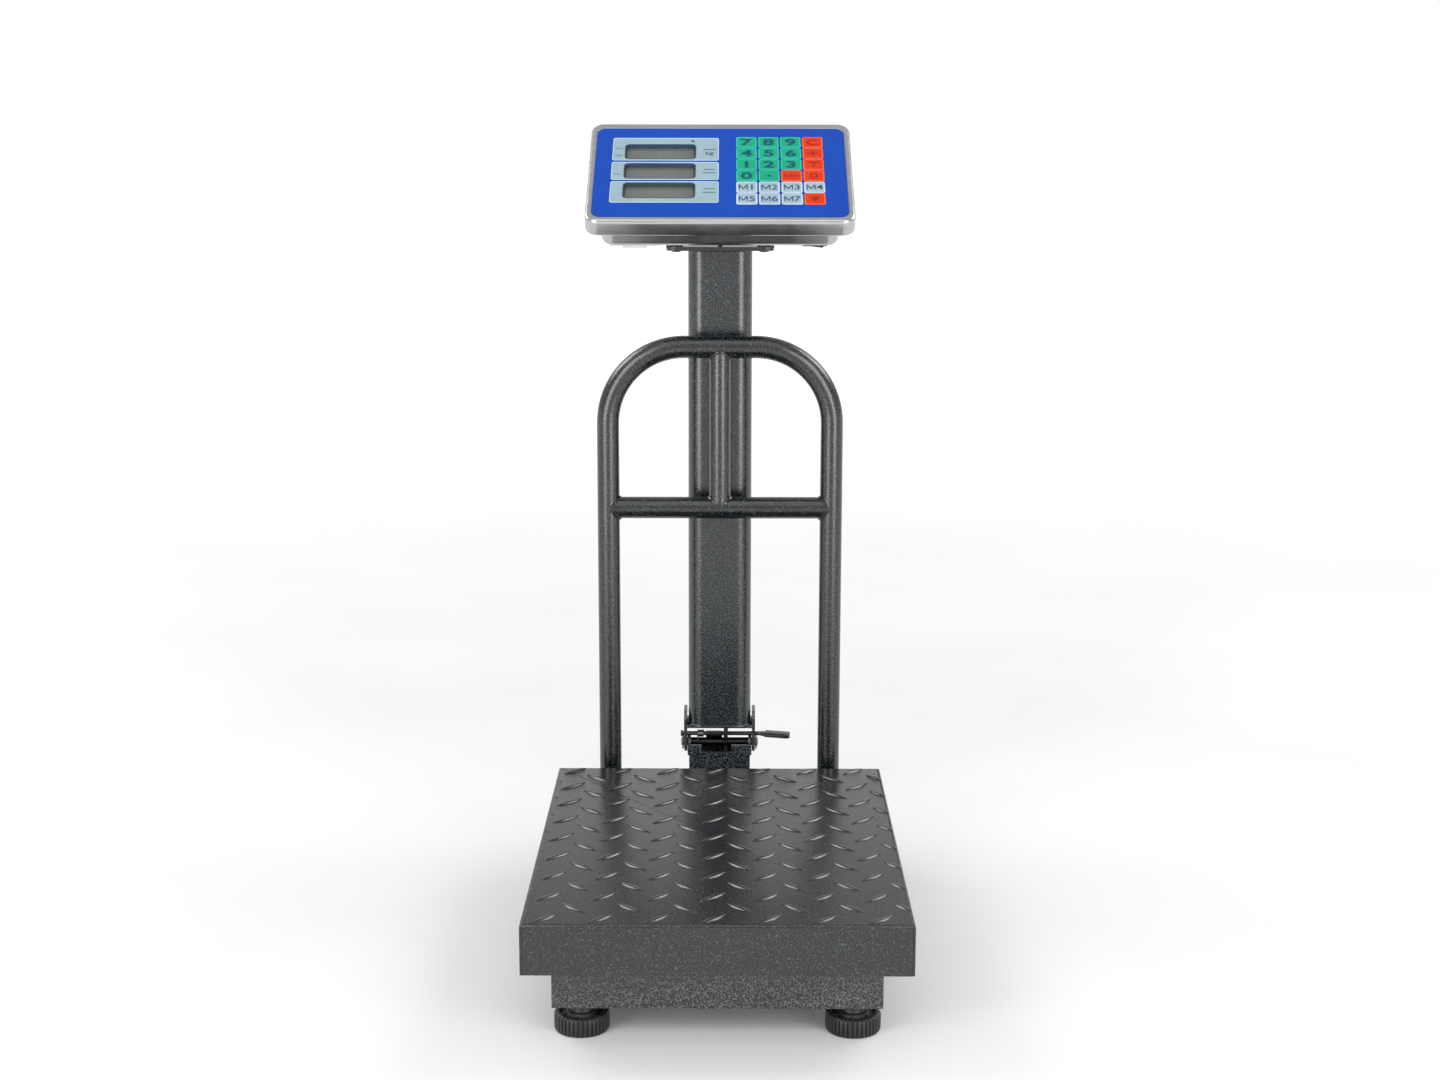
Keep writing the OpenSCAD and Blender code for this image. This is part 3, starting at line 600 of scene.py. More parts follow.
def cover_piece():
    """The tread-plate cover: one folded sheet with its lugs."""
    depth = COVER_HIGH.z - COVER_LOW.z
    piece = Piece("tread_cover", COVER)
    rings = [cover_ring(BEND_R * (1 - math.sin(a)), -BEND_R * (1 - math.cos(a)), 0.02) for a in quarter(4)]
    outside = ((0, -3.4), (0, 0.3 - depth), (0.3, -depth))
    inside = ((SHEET - 0.1, -depth), (SHEET, 0.3 - depth), (SHEET, -SHEET))
    rings += [cover_ring(inset, z, 0.9) for inset, z in outside]
    rings += [cover_ring(inset, z, 0.0) for inset, z in inside]
    piece.add(loft(rings))
    margin = 8
    reach_x, reach_y = COVER_HIGH.x + depth - margin, COVER_HIGH.y + depth - margin
    for slope, dx, dy in ((1, 0, 0), (-1, LUG_PITCH[0] / 2, LUG_PITCH[1] / 2)):
        for i in range(-3, 12):
            for j in range(-5, 12):
                x = LUG_FIRST[0] + dx + i * LUG_PITCH[0]
                y = LUG_FIRST[1] + dy + j * LUG_PITCH[1]
                past_corner = abs(x) > COVER_HIGH.x - margin and abs(y) > COVER_HIGH.y - margin
                if abs(x) <= reach_x and abs(y) <= reach_y and not past_corner:
                    piece.add(lug(x, y, slope))
    piece.build("cover", ["platform_cover"], smooth=38)


# ---- Levelling feet ----

def foot_wheel(corner):
    """The ribbed wheel: a grooved rim, a dished top with six webs, and a hub."""
    low, high = node_box("foot_wheel_" + corner)
    r = (high.x - low.x) / 2
    ribs, per_rib = 38, 6
    groove = 1.25

    def ribbed(radius, z, k):
        if z < 1.4 or z > 14.2 or radius < r - 1.5:
            return radius
        return radius - (groove if k % per_rib in (0, 1) else 0.0)

    profile = [(0.5, 0.9), (r - 6, 0.9), (r - 5.4, 0), (r - 2.2, 0), (r - 1.0, 0.5), (r - 0.3, 1.5), (r, 2.6),
               (r, 7.5), (r, 12.8), (r - 0.4, 13.9), (r - 1.6, 14.8), (r - 3.0, 15.2), (r - 4.4, 15.0),
               (r - 5.0, 14.2), (r - 5.4, 13.4), (13.2, 13.2), (12.6, 13.6), (12.0, 15.6), (11.2, 16.2),
               (9.8, 16.4), (9.3, 17.2), (8.9, 22.6), (8.2, 23.5), (5.6, 23.5)]
    piece = Piece("wheel_" + corner, FOOT)
    place = Matrix.Translation(((low.x + high.x) / 2, (low.y + high.y) / 2, low.z))
    piece.add(lathe(profile, ribs * per_rib, ribbed), place=place)
    for k in range(6):
        web = Matrix.Rotation(math.radians(60 * k + 20), 4, "Z")
        piece.add(soft_box((12.2, -0.9, 12.8), (r - 4.8, 0.9, 14.4), 0.4), place=place @ web)
    piece.build("foot_wheel_" + corner, ["foot_wheel_" + corner], smooth=45)


def foot_screw(corner):
    """The screw, with its thread as a real spiral."""
    low, high = node_box("foot_stud_" + corner)
    length, r, pitch, sides, per_turn = high.z - low.z, 5, 1.5, 20, 5
    thread, chamfer = 0.75, 0.5
    stud = Piece("screw_" + corner, ZINC)
    rings = []
    for i in range(int(length / pitch * per_turn) + 1):
        z = i * pitch / per_turn
        ring = []
        for k, a in enumerate(turns(sides)):
            phase = (z / pitch - k / sides) % 1
            depth = thread * abs(2 * phase - 1) if 1.5 < z < length - 1.5 else chamfer
            ring.append(((r - depth) * math.cos(a), (r - depth) * math.sin(a), z))
        rings.append(ring)
    stud.add(loft(rings), place=Matrix.Translation(((low.x + high.x) / 2, (low.y + high.y) / 2, low.z)))
    stud.build("foot_stud_" + corner, ["foot_stud_" + corner], smooth=60)


# ---- Guard rail ----

def bead(path, r, seed):
    """A weld bead: a small uneven roll along a closed path."""
    rng = random.Random(seed)
    wobble = [rng.uniform(0.8, 1.2) for _ in path]
    return sweep(path, lambda t: r * wobble[int(t * len(path)) % len(path)], 8, closed=True)


def saddle(place, bar_r, tube_r, sign):
    """Where a round bar running along local X meets a round tube standing along local Z at the origin."""
    path = []
    for a in turns(36):
        y = bar_r * math.cos(a)
        x = -sign * math.sqrt(max(tube_r ** 2 - y * y, 0.01))
        path.append(place @ Vector((x, y, bar_r * math.sin(a))))
    return path


def guard_hoop():
    """The bent guard tube, with a weld bead round each foot."""
    hoop = Piece("guard_tube", GUARD)
    bend_x, bend_z = GUARD_X - GUARD_BEND, GUARD_Z - GUARD_BEND
    leg = 12
    path = [(-GUARD_X, GUARD_Y, HOOP_LOW.z + i * (bend_z - HOOP_LOW.z) / leg) for i in range(leg)]
    for a in quarter(20):
        path.append((-bend_x - GUARD_BEND * math.cos(a), GUARD_Y, bend_z + GUARD_BEND * math.sin(a)))
    path += [(-x, y, z) for x, y, z in reversed(path)]
    hoop.add(sweep(path, GUARD_R, 32))
    for s in (-1, 1):
        weld = circle(GUARD_R + 0.4, 30, (s * GUARD_X, GUARD_Y))
        hoop.add(bead(ring_at(weld, HOOP_LOW.z + 0.9), 1.8, 5 + s))
    hoop.build("base", ["guard_hoop"])


def guard_bars():
    """The crossbar and the centre bar, with a weld bead where each end meets a tube."""
    bars = Piece("guard_cross_tubes", GUARD)
    proud, weld_r = 0.3, 1.35
    bars.add(sweep([(GUARD_X * (i / 6 - 1), GUARD_Y, CROSSBAR_Z) for i in range(13)], BAR_R, 32))
    rise = GUARD_Z - CROSSBAR_Z
    bars.add(sweep([(0, GUARD_Y, CROSSBAR_Z + i * rise / 6) for i in range(7)], BAR_R, 32))
    for s in (-1, 1):
        place = Matrix.Translation((s * GUARD_X, GUARD_Y, CROSSBAR_Z))
        bars.add(bead(saddle(place, BAR_R, GUARD_R + proud, s), weld_r, 20 + s))
    turn = Matrix.Rotation(math.radians(90), 4, "Y")
    for z, tube_r, sign, seed in ((CROSSBAR_Z, BAR_R, 1, 31), (GUARD_Z, GUARD_R, -1, 32)):
        place = Matrix.Translation((0, GUARD_Y, z)) @ turn
        bars.add(bead(saddle(place, BAR_R, tube_r + proud, sign), weld_r, seed))
    bars.build("base", ["guard_bars"])


# ---- Column and hinge ----

def column_tube():
    """The column's profile, with a weld bead round each end."""
    w, d = TUBE_HIGH.x - TUBE_LOW.x, TUBE_HIGH.y - TUBE_LOW.y
    centre = ((TUBE_HIGH.x + TUBE_LOW.x) / 2, (TUBE_HIGH.y + TUBE_LOW.y) / 2)
    wall, corner, proud = 1.5, 14, 0.8
    tube = Piece("column_profile", COLUMN)
    outer = round_rect(w, d, corner, 14, centre)
    inner = round_rect(w - 2 * wall, d - 2 * wall, corner - wall, 14, centre)
    rings = [ring_at(inner, TUBE_LOW.z), ring_at(outer, TUBE_LOW.z), ring_at(outer, TUBE_HIGH.z),
             ring_at(inner, TUBE_HIGH.z)]
    tube.add(loft(rings, joined=True))
    for z, seed in ((TUBE_LOW.z + 0.5, 41), (TUBE_HIGH.z - 0.6, 42)):
        tube.add(bead(ring_at(round_rect(w + proud, d + proud, corner, 10, centre), z), 1.2, seed))
    tube.build("column", ["column_tube"])


def latch_spring():
    """The latch's torsion spring, coiled round the rod, with its two tails."""
    spring = Piece("latch_torsion_spring", ZINC)
    low, high = node_box("latch_spring")
    coils, per_coil, wire, r = 5, 16, 0.5, 3.1
    count = coils * per_coil
    coil = []
    for i in range(count + 1):
        a = 2 * math.pi * i / per_coil
        x = low.x + wire + (high.x - low.x - 2 * wire) * i / count
        coil.append((x, LATCH.y + r * math.cos(a), LATCH.z + r * math.sin(a)))
    tail = [(low.x + wire, LATCH.y + r, LATCH.z - 8), (low.x + wire, LATCH.y + r, LATCH.z - 3)]
    head = [(high.x - wire, LATCH.y + r + 0.4, LATCH.z + 3)]
    spring.add(sweep(tail + coil + head, wire, 8))
    spring.build("column", ["latch_spring"], smooth=60)


def hinge_pin():
    """The hinge pin, with chamfered ends and a washer near each."""
    clips = Piece("hinge_pin_and_clips", DARK_ZINC, ZINC)
    turn = Matrix.Translation((0, PIN.y, PIN.z)) @ Matrix.Rotation(math.radians(90), 4, "Y")
    end, pin_r, washer_r = node_box("hinge_pin")[1].x, 4.0, 7.5
    rod = [(pin_r - 0.7, -end), (pin_r, -end + 0.6), (pin_r, end - 0.6), (pin_r - 0.7, end)]
    clips.add(lathe(rod, 40), place=turn)
    for s in (-1, 1):
        face = s * (end - 1.6)
        washer = [(pin_r, face - 0.7), (washer_r - 0.4, face - 0.7), (washer_r, face - 0.4),
                  (washer_r, face + 0.4), (washer_r - 0.4, face + 0.7), (pin_r, face + 0.7)]
        clips.add(lathe(washer, 40), 1, place=turn)
    clips.build("base", ["hinge_pin"])


def bolt(piece, x, y, under, nut_z, flats):
    """A button-headed screw from below, with its washer and nut on top."""
    place = Matrix.Translation((x, y, 0))
    head = [(1.6, under - 0.6), (1.8, under - 1.5), (3.2, under - 1.4), (4.6, under - 0.8), (5.0, under)]
    end = [(2.2, nut_z), (3, nut_z + 0.5), (3, nut_z + 5.2), (2.4, nut_z + 5.8)]
    washer = [(3, nut_z - 1.0), (6.2, nut_z - 1.0), (6.2, nut_z - 0.1), (3, nut_z - 0.1)]
    piece.add(lathe(head, 32), place=place)
    piece.add(hexagon(flats, nut_z, nut_z + 4), place=place)
    piece.add(lathe(end, 24), place=place)
    piece.add(lathe(washer, 32), place=place)


# ---- Display head ----

def between(a, b, t):
    """An outline the share t of the way from outline a to outline b."""
    return [(p[0] + (q[0] - p[0]) * t, p[1] + (q[1] - p[1]) * t) for p, q in zip(a, b)]


def panel_outline(grow=0.0, corner=9.2):
    return round_rect(PANEL_SIZE[0] + grow, PANEL_SIZE[1] + grow, corner, 10)


def window(v, grow=0.0, corner=3.6, steps=5):
    """The outline of the display window whose middle is at height v, made larger by grow."""
    return round_rect(WINDOW[0] + grow, WINDOW[1] + grow, corner, steps, (WINDOW_X, v))


def lid_outline(inset):
    w, d = LID_SIZE
    return round_rect(w - 2 * inset, d - 2 * inset, max(LID_CORNER - inset, 3), 10, (0, LID_SHIFT))


def lid_piece():
    """The pressed stainless lid: raised rim, rolled outer edge, plain wall and turned-in lower edge."""
    seat = panel_outline(0.5)
    roll, lower = 3.4, 2.6
    rings = [ring_at(seat, -1.6), ring_at(seat, -0.25), ring_at(between(seat, lid_outline(3.6), 0.1), 0.0),
             ring_at(between(seat, lid_outline(3.6), 0.5), 0.12)]
    for a in quarter(6):
        rings.append(ring_at(lid_outline(roll * (1 - math.sin(a))), -roll * (1 - math.cos(a))))
    for a in quarter(6)[1:]:
        rings.append(ring_at(lid_outline(lower * (1 - math.cos(a))), -LID_DEEP + lower * (1 - math.sin(a))))
    for inset, z in ((4.2, 0.4 - LID_DEEP), (4.2, 1.3 - LID_DEEP), (2.0, 1.9 - LID_DEEP), (1.2, -5.0)):
        rings.append(ring_at(lid_outline(inset), z))
    rings.append(ring_at(between(seat, lid_outline(3.6), 0.2), -1.6))
    piece = Piece("lid_shell", STAINLESS)
    piece.add(loft(rings, joined=True))
    key_area = (KEY_X + 1.5 * KEY_PITCH[0], KEY_Y - 2.5 * KEY_PITCH[1])
    holes = [round_rect(4 * KEY_PITCH[0] + 1.4, 6 * KEY_PITCH[1] + 2.0, 2, 3, key_area)]
    holes += [window(v, 2, 4, 4) for v in WINDOW_ROWS]
    piece.add(holed_plate(panel_outline(0.9), holes, -1.7, -PANEL_T - 0.05))
    piece.build("column", ["head_lid"], ON_FACE, smooth=35)


def pan_outline(inset):
    w, d = PAN_SIZE
    return round_rect(w - 2 * inset, d - 2 * inset, max(PAN_CORNER - inset, 2), 10, (0, LID_SHIFT))


def pan_piece():
    """The pressed stainless pan under the lid, with holes for the battery, the switch and the lead."""
    roll, sheet = 7.5, 1.5
    inner = [(lid_outline(4.0), 0.1 - LID_DEEP), (lid_outline(4.0), 0.9 - LID_DEEP),
             (pan_outline(0.8), 0.9 - LID_DEEP), (pan_outline(sheet), -0.5 - LID_DEEP),
             (pan_outline(sheet), 9 - HEAD_DEEP)]
    for a in quarter(6):
        inset = sheet + (roll - sheet) * (1 - math.cos(a))
        inner.append((pan_outline(inset), sheet - HEAD_DEEP + (roll - sheet) * (1 - math.sin(a))))
    outer = [(pan_outline(-0.6), -LID_DEEP), (pan_outline(0), -0.8 - LID_DEEP)]
    for a in quarter(7):
        outer.append((pan_outline(roll * (1 - math.cos(a))), -HEAD_DEEP + roll * (1 - math.sin(a))))
    piece = Piece("pan_shell", STAINLESS)
    piece.add(loft([ring_at(o, z) for o, z in inner + outer[::-1]], joined=True))
    door_middle = ((DOOR_LOW[0] + DOOR_HIGH[0]) / 2, (DOOR_LOW[1] + DOOR_HIGH[1]) / 2)
    door_hole = round_rect(36, 94, 2, 3, door_middle)
    switch_hole = round_rect(19.4, 13, 1, 2, SWITCH_AT)
    lead_hole = round_rect(14, 14, 6.99, 4)
    holes = [door_hole, switch_hole, lead_hole]
    piece.add(holed_plate(pan_outline(roll), holes, -HEAD_DEEP, 1.4 - HEAD_DEEP))
    piece.build("column", ["head_pan"], ON_FACE, smooth=35)


def flat_text(words, size, wide=1.0, bold=0.0):
    """A word in the plain built-in typeface, centred on the origin, as a shape in millimetres."""
    data = bpy.data.curves.new("word", "FONT")
    data.body = words
    data.size = size
    data.offset = bold
    data.extrude = INK_T
    data.align_x = "CENTER"
    data.align_y = "CENTER"
    data.resolution_u = 6
    obj = bpy.data.objects.new("word", data)
    scene.collection.objects.link(obj)
    mesh = bpy.data.meshes.new_from_object(obj.evaluated_get(bpy.context.evaluated_depsgraph_get()))
    points = [v.co.copy() for v in mesh.vertices]
    xs = [p.x for p in points]
    ys = [p.y for p in points]
    shift = Vector(((max(xs) + min(xs)) / 2, (max(ys) + min(ys)) / 2, 0))
    points = [Vector(((p.x - shift.x) * wide, p.y - shift.y, p.z)) for p in points]
    faces = [tuple(f.vertices) for f in mesh.polygons]
    bpy.data.objects.remove(obj)
    bpy.data.curves.remove(data)
    bpy.data.meshes.remove(mesh)
    return points, faces


def printed(outline, z0=-INK_T, z1=INK_T):
    """A thin patch of ink."""
    return loft([ring_at(outline, z0), ring_at(outline, z1)])


def letter_m(height):
    """A plain capital M, centred on the origin."""
    half = [(4.2, -4), (4.2, 4), (2.9, 4), (0, -1.5)]
    inner = [(0.5, -3.2), (3.1, 1.8), (3.1, -4)]
    outline = half + [(-x, y) for x, y in half[-2::-1]] + [(-x, y) for x, y in inner[::-1]] + inner
    return printed([(x * height / 8, y * height / 8) for x, y in outline])


def side_by_side(shapes):
    """Several (x, shape) pairs as one shape, each moved along X by its x."""
    points, faces = [], []
    for x, (p, f) in shapes:
        faces += [tuple(i + len(points) for i in face) for face in f]
        points += [Vector(q) + Vector((x, 0, 0)) for q in p]
    return points, faces


def lamp_sign():
    """A small shade-shaped sign for the display light."""
    shade = [(-4.6, 3.4), (4.6, 3.4), (2.0, -1.6), (-2.0, -1.6)]
    bulb = [(-1.6, -2.3), (1.6, -2.3), (0.9, -3.8), (-0.9, -3.8)]
    return side_by_side([(0, printed(shade)), (0, printed(bulb))])


KEY_SIGNS = {"clear": ("C", 13.5), "add": ("+", 15), "tare": ("T", 12), "zero": ("0", 12), "dot": (".", 20)}
KEY_PAINTS = {
    "digit": (GREEN, GREEN_RIM_HIGHLIGHT, INK),
    "action": (ORANGE, ORANGE_RIM_HIGHLIGHT, RED_INK),
    "memory": (MEMORY, MEMORY_RIM_HIGHLIGHT, GREY_INK),
}


def key_style(name):
    if name in ("clear", "add", "tare", "store", "zero", "lamp"):
        return "action"
    return "memory" if name[0] == "m" else "digit"


def key_sign(name):
    """The generic sign printed on a key."""
    if name == "lamp":
        return lamp_sign()
    if name == "store":
        return side_by_side([(-2.8, letter_m(7)), (4.4, flat_text("+", 11, bold=0.15))])
    if key_style(name) == "memory":
        return side_by_side([(-3.2, letter_m(7.8)), (4.6, flat_text(name[1], 11.4, wide=1.1, bold=0.1))])
    if name in KEY_SIGNS:
        words, size = KEY_SIGNS[name]
        return flat_text(words, size, wide=1.3, bold=0.2)
    return flat_text(name, 14.6, wide=1.4, bold=0.45)


def key_piece(name, row, col):
    """One key: a soft cap whose raised rounded rim is painted lighter as a painted highlight, a skirt under
    the panel, and its sign.
    """
    style = key_style(name)
    w, d = KEY_SIZE
    piece = Piece("cap_" + name, *KEY_PAINTS[style])

    def outline(inset):
        return round_rect(w - 2 * inset, d - 2 * inset, max(1.9 - inset, 0.6), 4)

    skirt = round_rect(w + 1.0, d + 1.0, 2, 4)
    side = [(skirt, -2.4), (skirt, -0.95), (outline(0), -0.9), (outline(0), 0.1)]
    rim = [(0, 0.1), (0.18, 0.36), (0.45, KEY_TOP), (0.85, KEY_TOP - 0.02), (1.15, 0.3)]
    top = [(1.15, 0.3), (1.5, 0.28)]
    piece.add(loft([ring_at(o, z) for o, z in side], end=False))
    # The raised rim takes the lighter colour: a painted highlight.
    piece.add(loft([ring_at(outline(inset), z) for inset, z in rim], start=False, end=False), 1)
    piece.add(loft([ring_at(outline(inset), z) for inset, z in top], start=False))
    piece.add(key_sign(name), 2, Matrix.Translation((0, 0, 0.32)))
    place = ON_FACE @ Matrix.Translation((KEY_X + col * KEY_PITCH[0], KEY_Y - row * KEY_PITCH[1], 0))
    piece.build("key_" + name, ["key_" + name], place, smooth=50)


def display_block(panel, low, high, v):
    """A pale block round one window, from low to high on the panel, with a raised border painted lighter as a
    painted highlight, and its window wall.
    """
    centre = ((BLOCK_X[0] + BLOCK_X[1]) / 2, (low + high) / 2)
    width = BLOCK_X[1] - BLOCK_X[0]
    panel.add(holed_plate(round_rect(width, high - low, 2.2, 4, centre), [window(v)], -0.1, 0.07), 1)
    # The raised bead round the block is painted lighter: a painted highlight.
    edge = ring_at(round_rect(width - 0.8, high - low - 0.8, 2.0, 4, centre), 0.06)
    panel.add(sweep(edge, 0.42, 8, closed=True), 2)
    panel.add(sweep(ring_at(window(v, 0.7, 3.9), 0.02), 0.38, 8, closed=True), 4)
    wall = ((0.1, 0.0), (1.2, -0.05), (1.2, -3.1), (0.1, -3.1))
    panel.add(loft([ring_at(window(v, grow), z) for grow, z in wall], joined=True), 4)


def panel_print(panel):
    """The unit beside the first display, plain bars in place of words, and the mains lamp."""
    first, second, third = WINDOW_ROWS
    right = WINDOW_X + WINDOW[0] / 2 + 13
    left = -93
    panel.add(flat_text("kg", 7.5, 1.1, 0.05), 3, Matrix.Translation((right, first - 3, 0.1)))
    words = ((first + 4, 11), (second + 2.6, 9.5), (second - 3, 12), (third + 2.6, 11), (third - 3, 12))
    for v, length in words:
        panel.add(printed(round_rect(length, 1.1, 0.5, 2, (right, v)), 0.05, 0.11), 3)
    for v in (first + 5.5, first - 6.5, second - 5.5):
        panel.add(printed(round_rect(6.5, 0.8, 0.35, 2, (left, v)), 0.05, 0.11), 3)
    panel.add(printed(circle(1.5, 20, (-25.4, 51)), 0.05, 0.2), 5)


def panel_piece():
    """The printed front film, with its openings and its three display blocks."""
    w, d = KEY_SIZE[0] + 2 * KEY_GAP, KEY_SIZE[1] + 2 * KEY_GAP
    keys = [round_rect(w, d, 2, 4, (KEY_X + c * KEY_PITCH[0], KEY_Y - r * KEY_PITCH[1]))
            for r in range(6) for c in range(4)]
    panel = Piece("panel_film", BLUE, PALE_PRINT, PALE_BORDER_HIGHLIGHT, GREY_INK, WINDOW_WALL, BLACK)
    panel.add(holed_plate(panel_outline(0, 9), [window(v) for v in WINDOW_ROWS] + keys, -PANEL_T, 0.0))
    for (low, high), v in zip(BLOCK_ROWS, WINDOW_ROWS):
        display_block(panel, low, high, v)
    panel_print(panel)
    panel.build("column", ["front_overlay"], ON_FACE, smooth=40)


def display_piece():
    """The three displays behind the windows, each with a dark frame round its glass."""
    display = Piece("display_glass", CRYSTAL, WINDOW_WALL)
    for v in WINDOW_ROWS:
        display.add(loft([ring_at(window(v, 4, 1.5, 3), z) for z in (-5.8, -3.2)]))
        display.add(holed_plate(window(v, 2, 2, 3), [window(v, -3, 1, 2)], -3.2, -3.05), 1)
    display.build("column", ["display_modules"], ON_FACE, smooth=40)


def battery_door():
    """The battery door, with a raised end and finger ribs."""
    door = Piece("battery_cover", PALE)
    face = -0.3 - HEAD_DEEP
    (left, front), (right, back) = DOOR_LOW, DOOR_HIGH
    door.add(soft_box((left, front, face - 2), (right, back, face), 0.8))
    door.add(soft_box((left + 11, front, face - 4.3), (right - 11, front + 3.2, face - 0.3), 0.7))
    for k in range(6):
        y = front + 10 + 3 * k
        door.add(soft_box((left + 9, y, face - 2.6), (right - 9, y + 1.4, face - 1.8), 0.35))
    door.build("battery_door", ["battery_door"], ON_FACE)


def power_switch():
    """The rocker, tipped to one side, and the bezel it sits in."""
    rocker = Piece("rocker_cap", BLACK)
    place = Matrix.Translation((*SWITCH_AT, 1 - HEAD_DEEP)) @ Matrix.Rotation(math.radians(8), 4, "Y")
    rocker.add(soft_box((-8.5, -5.5, -4.4), (8.5, 5.5, 0), 0.7), place=place)
    for x in (-5, 5):
        rocker.add(soft_box((x - 1.6, -3.2, -4.9), (x + 1.6, 3.2, -4.2), 0.3), place=place)
    rocker.build("power_rocker", ["power_rocker"], ON_FACE)

    bezel = Piece("switch_bezel", BLACK)
    hole = round_rect(19, 12.6, 1, 3, SWITCH_AT)
    bezel.add(holed_plate(round_rect(23, 15.6, 2, 4, SWITCH_AT), [hole], -1 - HEAD_DEEP, -HEAD_DEEP))
    bezel.build("column", place=ON_FACE)


def charging_socket():
    """The socket in the pan's back wall: a flanged barrel round a centre pin."""
    jack = Piece("charging_socket", BLACK, ZINC)
    wall = PAN_SIZE[1] / 2 + LID_SHIFT
    turn = Matrix.Translation((60, wall + 1.5, -25)) @ Matrix.Rotation(math.radians(90), 4, "X")
    barrel = [(2.75, 9.5), (2.75, 0.3), (3.1, 0), (6.6, 0), (7.0, 0.4), (7.0, 1.5), (5.4, 1.6), (5.4, 13),
              (1.2, 13), (1.2, 9.6)]
    jack.add(lathe(barrel, 40), place=turn)
    jack.add(lathe([(0.4, 2.0), (1.0, 2.6), (1.0, 9.8), (0.4, 9.8)], 20), 1, place=turn)
    jack.build("column", ["charger_jack"], ON_FACE)


def head_fixings():
    """Four bolts that hold the head's bracket to the column, and four screws in the pan."""
    piece = Piece("head_bolts_and_nuts", DARK_ZINC)
    low, high = node_box("column_top_plate")
    bracket_sheet, washer = 1.8, 1.0
    nut_z = node_box("head_bracket")[0].z + bracket_sheet + washer
    for x in (-40, 40):
        for y in (-28, 28):
            bolt(piece, x, (low.y + high.y) / 2 + y, low.z, nut_z, 9)
    head = [(0.2, 1.4), (1.9, 1.5), (2.1, 2.2), (2.8, 2.1), (3.4, 1.4), (3.6, 0)]
    for x in (-38, 38):
        for y in (-34, 34):
            place = ON_FACE @ Matrix.Translation((x, y, -2 - HEAD_DEEP)) @ Matrix.Rotation(math.pi, 4, "X")
            piece.add(lathe(head, 32), place=place)
    piece.build("column", ["head_bolts"], smooth=45)


# ---- Signal cable ----

CABLE_ROUTE = [
    (0, 61, -39), (0, 68, -39), (2, 76, -42), (5, 86, -50), (6, 94, -58), (6, 108, -65), (6, 140, -66),
    (6, 176, -65), (6, 210, -65), (6, 236, -64), (6, 250, -59), (6, 256, -47), (6, 261, -33), (6, 269, -19),
    (6, 275, -6), (6, 276, 5), (6, 272, 12.5), (6, 265, 14), (6, 257.5, 11), (6, 252.5, 14), (6, 251.5, 21),
    (6, 252.5, 30), (4, 257, 48), (1, 263, 80), (0, 265, 130), (0, 265, 200), (0, 265, 270), (0, 265, 340),
    (0, 265, 410), (0, 265, 470), (0, 265.5, 490), (0, 265.6, 505), (0, 264.6, 515), (0, 262, 523),
    (0, 257, 531),
]


def spline(points, steps):
    """A Catmull-Rom curve through the points."""
    points = [Vector(p) for p in points]
    out = []
    for i in range(len(points) - 1):
        a, b = points[max(i - 1, 0)], points[i]
        c, d = points[i + 1], points[min(i + 2, len(points) - 1)]
        for k in range(steps):
            t = k / steps
            out.append(0.5 * (2 * b + (c - a) * t + (2 * a - 5 * b + 4 * c - d) * t ** 2
                              + (3 * b - a - 3 * c + d) * t ** 3))
    return out + [points[-1]]


def cable_piece():
    """The signal lead, which bends beside the hinge; it is attached to no body."""
    piece = Piece("signal_lead", CABLE)
    piece.add(sweep(spline(CABLE_ROUTE, 4), 2.05, 14))
    lead = piece.build("", ["signal_cable"])
    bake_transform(lead)


# ---- Stage and lights ----

def stage():
    mesh = bpy.data.meshes.new("floor")
    half = 40
    corners = [(-half, -half), (half, -half), (half, half), (-half, half)]
    mesh.from_pydata(ring_at(corners, FLOOR_Z * MM), [], [(0, 1, 2, 3)])
    mesh.materials.append(floor_material())
    floor = bpy.data.objects.new("floor", mesh)
    scene.collection.objects.link(floor)


def area_light(name, at, aim, size, power):
    data = bpy.data.lights.new(name, "AREA")
    data.shape = "RECTANGLE"
    data.size, data.size_y = size
    data.energy = power
    obj = bpy.data.objects.new(name, data)
    scene.collection.objects.link(obj)
    at, aim = Vector(at), Vector(aim)
    obj.location = at
    obj.rotation_euler = (aim - at).to_track_quat("-Z", "Y").to_euler()


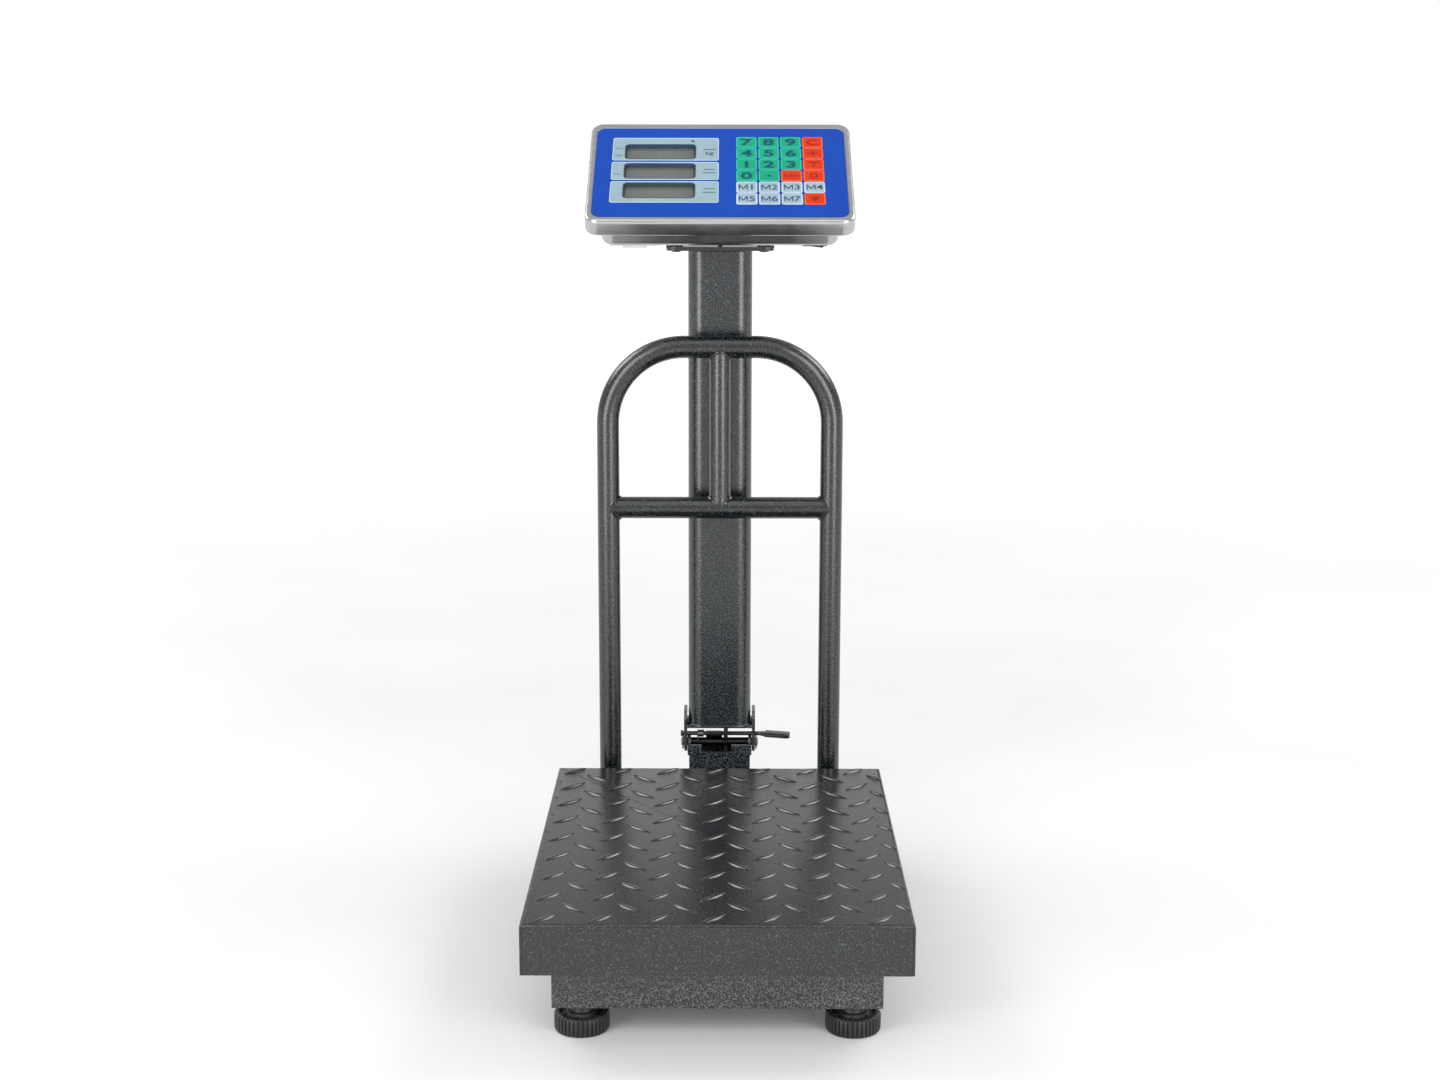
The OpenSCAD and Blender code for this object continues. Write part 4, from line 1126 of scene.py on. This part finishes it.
def studio_world():
    """A surround that is white to the camera, and a dimmer grey in reflections and as light."""
    world = bpy.data.worlds.new("studio")
    scene.world = world
    world.use_nodes = True
    nodes, links = world.node_tree.nodes, world.node_tree.links
    background = nodes["Background"]
    background.inputs["Color"].default_value = (1, 1, 1, 1)
    path = nodes.new("ShaderNodeLightPath")
    level = nodes.new("ShaderNodeMapRange")
    level.inputs["To Min"].default_value = 0.65
    level.inputs["To Max"].default_value = 1.0
    links.new(path.outputs["Is Camera Ray"], level.inputs["Value"])
    links.new(level.outputs["Result"], background.inputs["Strength"])


def lights():
    """Two tall softboxes beside the camera, two high lights at the sides and a soft sun, in metres."""
    away, height = 1.8, 0.85
    for side in (-1, 1):
        angle = math.radians(37) * side
        at = (away * math.sin(angle), -away * math.cos(angle), height)
        area_light("softbox", at, (0, 0.1, height), (0.85, 1.9), 21)
        area_light("rim", (1.3 * side, 0.65, 1.35), (0, 0, 0), (1.0, 0.8), 12)
    data = bpy.data.lights.new("sky", "SUN")
    data.energy = 0.4
    data.angle = math.radians(50)
    sky = bpy.data.objects.new("sky", data)
    scene.collection.objects.link(sky)
    sky.rotation_euler = (math.radians(32), 0, math.radians(-8))


# ---- The whole scale ----

cover_piece()
for corner_name in ("fl", "fr", "rl", "rr"):
    foot_wheel(corner_name)
    foot_screw(corner_name)
guard_hoop()
guard_bars()
column_tube()
latch_spring()
hinge_pin()
lid_piece()
pan_piece()
panel_piece()
display_piece()
for row_number, row_names in enumerate(KEY_ROWS):
    for col_number, key_name in enumerate(row_names):
        key_piece(key_name, row_number, col_number)
battery_door()
power_switch()
charging_socket()
head_fixings()
cable_piece()

dress("base_frame", FRAME, 0.5)
dress("platform_frame", FRAME)
dress("cover_pads", RUBBER)
dress("load_cell", ALUMINIUM, 0.4)
dress("frame_fasteners", ZINC)
dress("rear_bracket", FRAME, 0.4)
dress("hinge_lower_bracket", HINGE, 0.3)
dress("hinge_upper_bracket", HINGE, 0.3)
# The latch rod and the plates under the head take the darkened bracket paint: painted shade.
dress("latch_rod", SHADED_BRACKET, 0.3)
dress("column_top_plate", SHADED_BRACKET, 0.3)
dress("head_bracket", SHADED_BRACKET, 0.3)
dress("circuit_board", BOARD)
dress("battery", BLACK, 0.5)

stage()
studio_world()
lights()
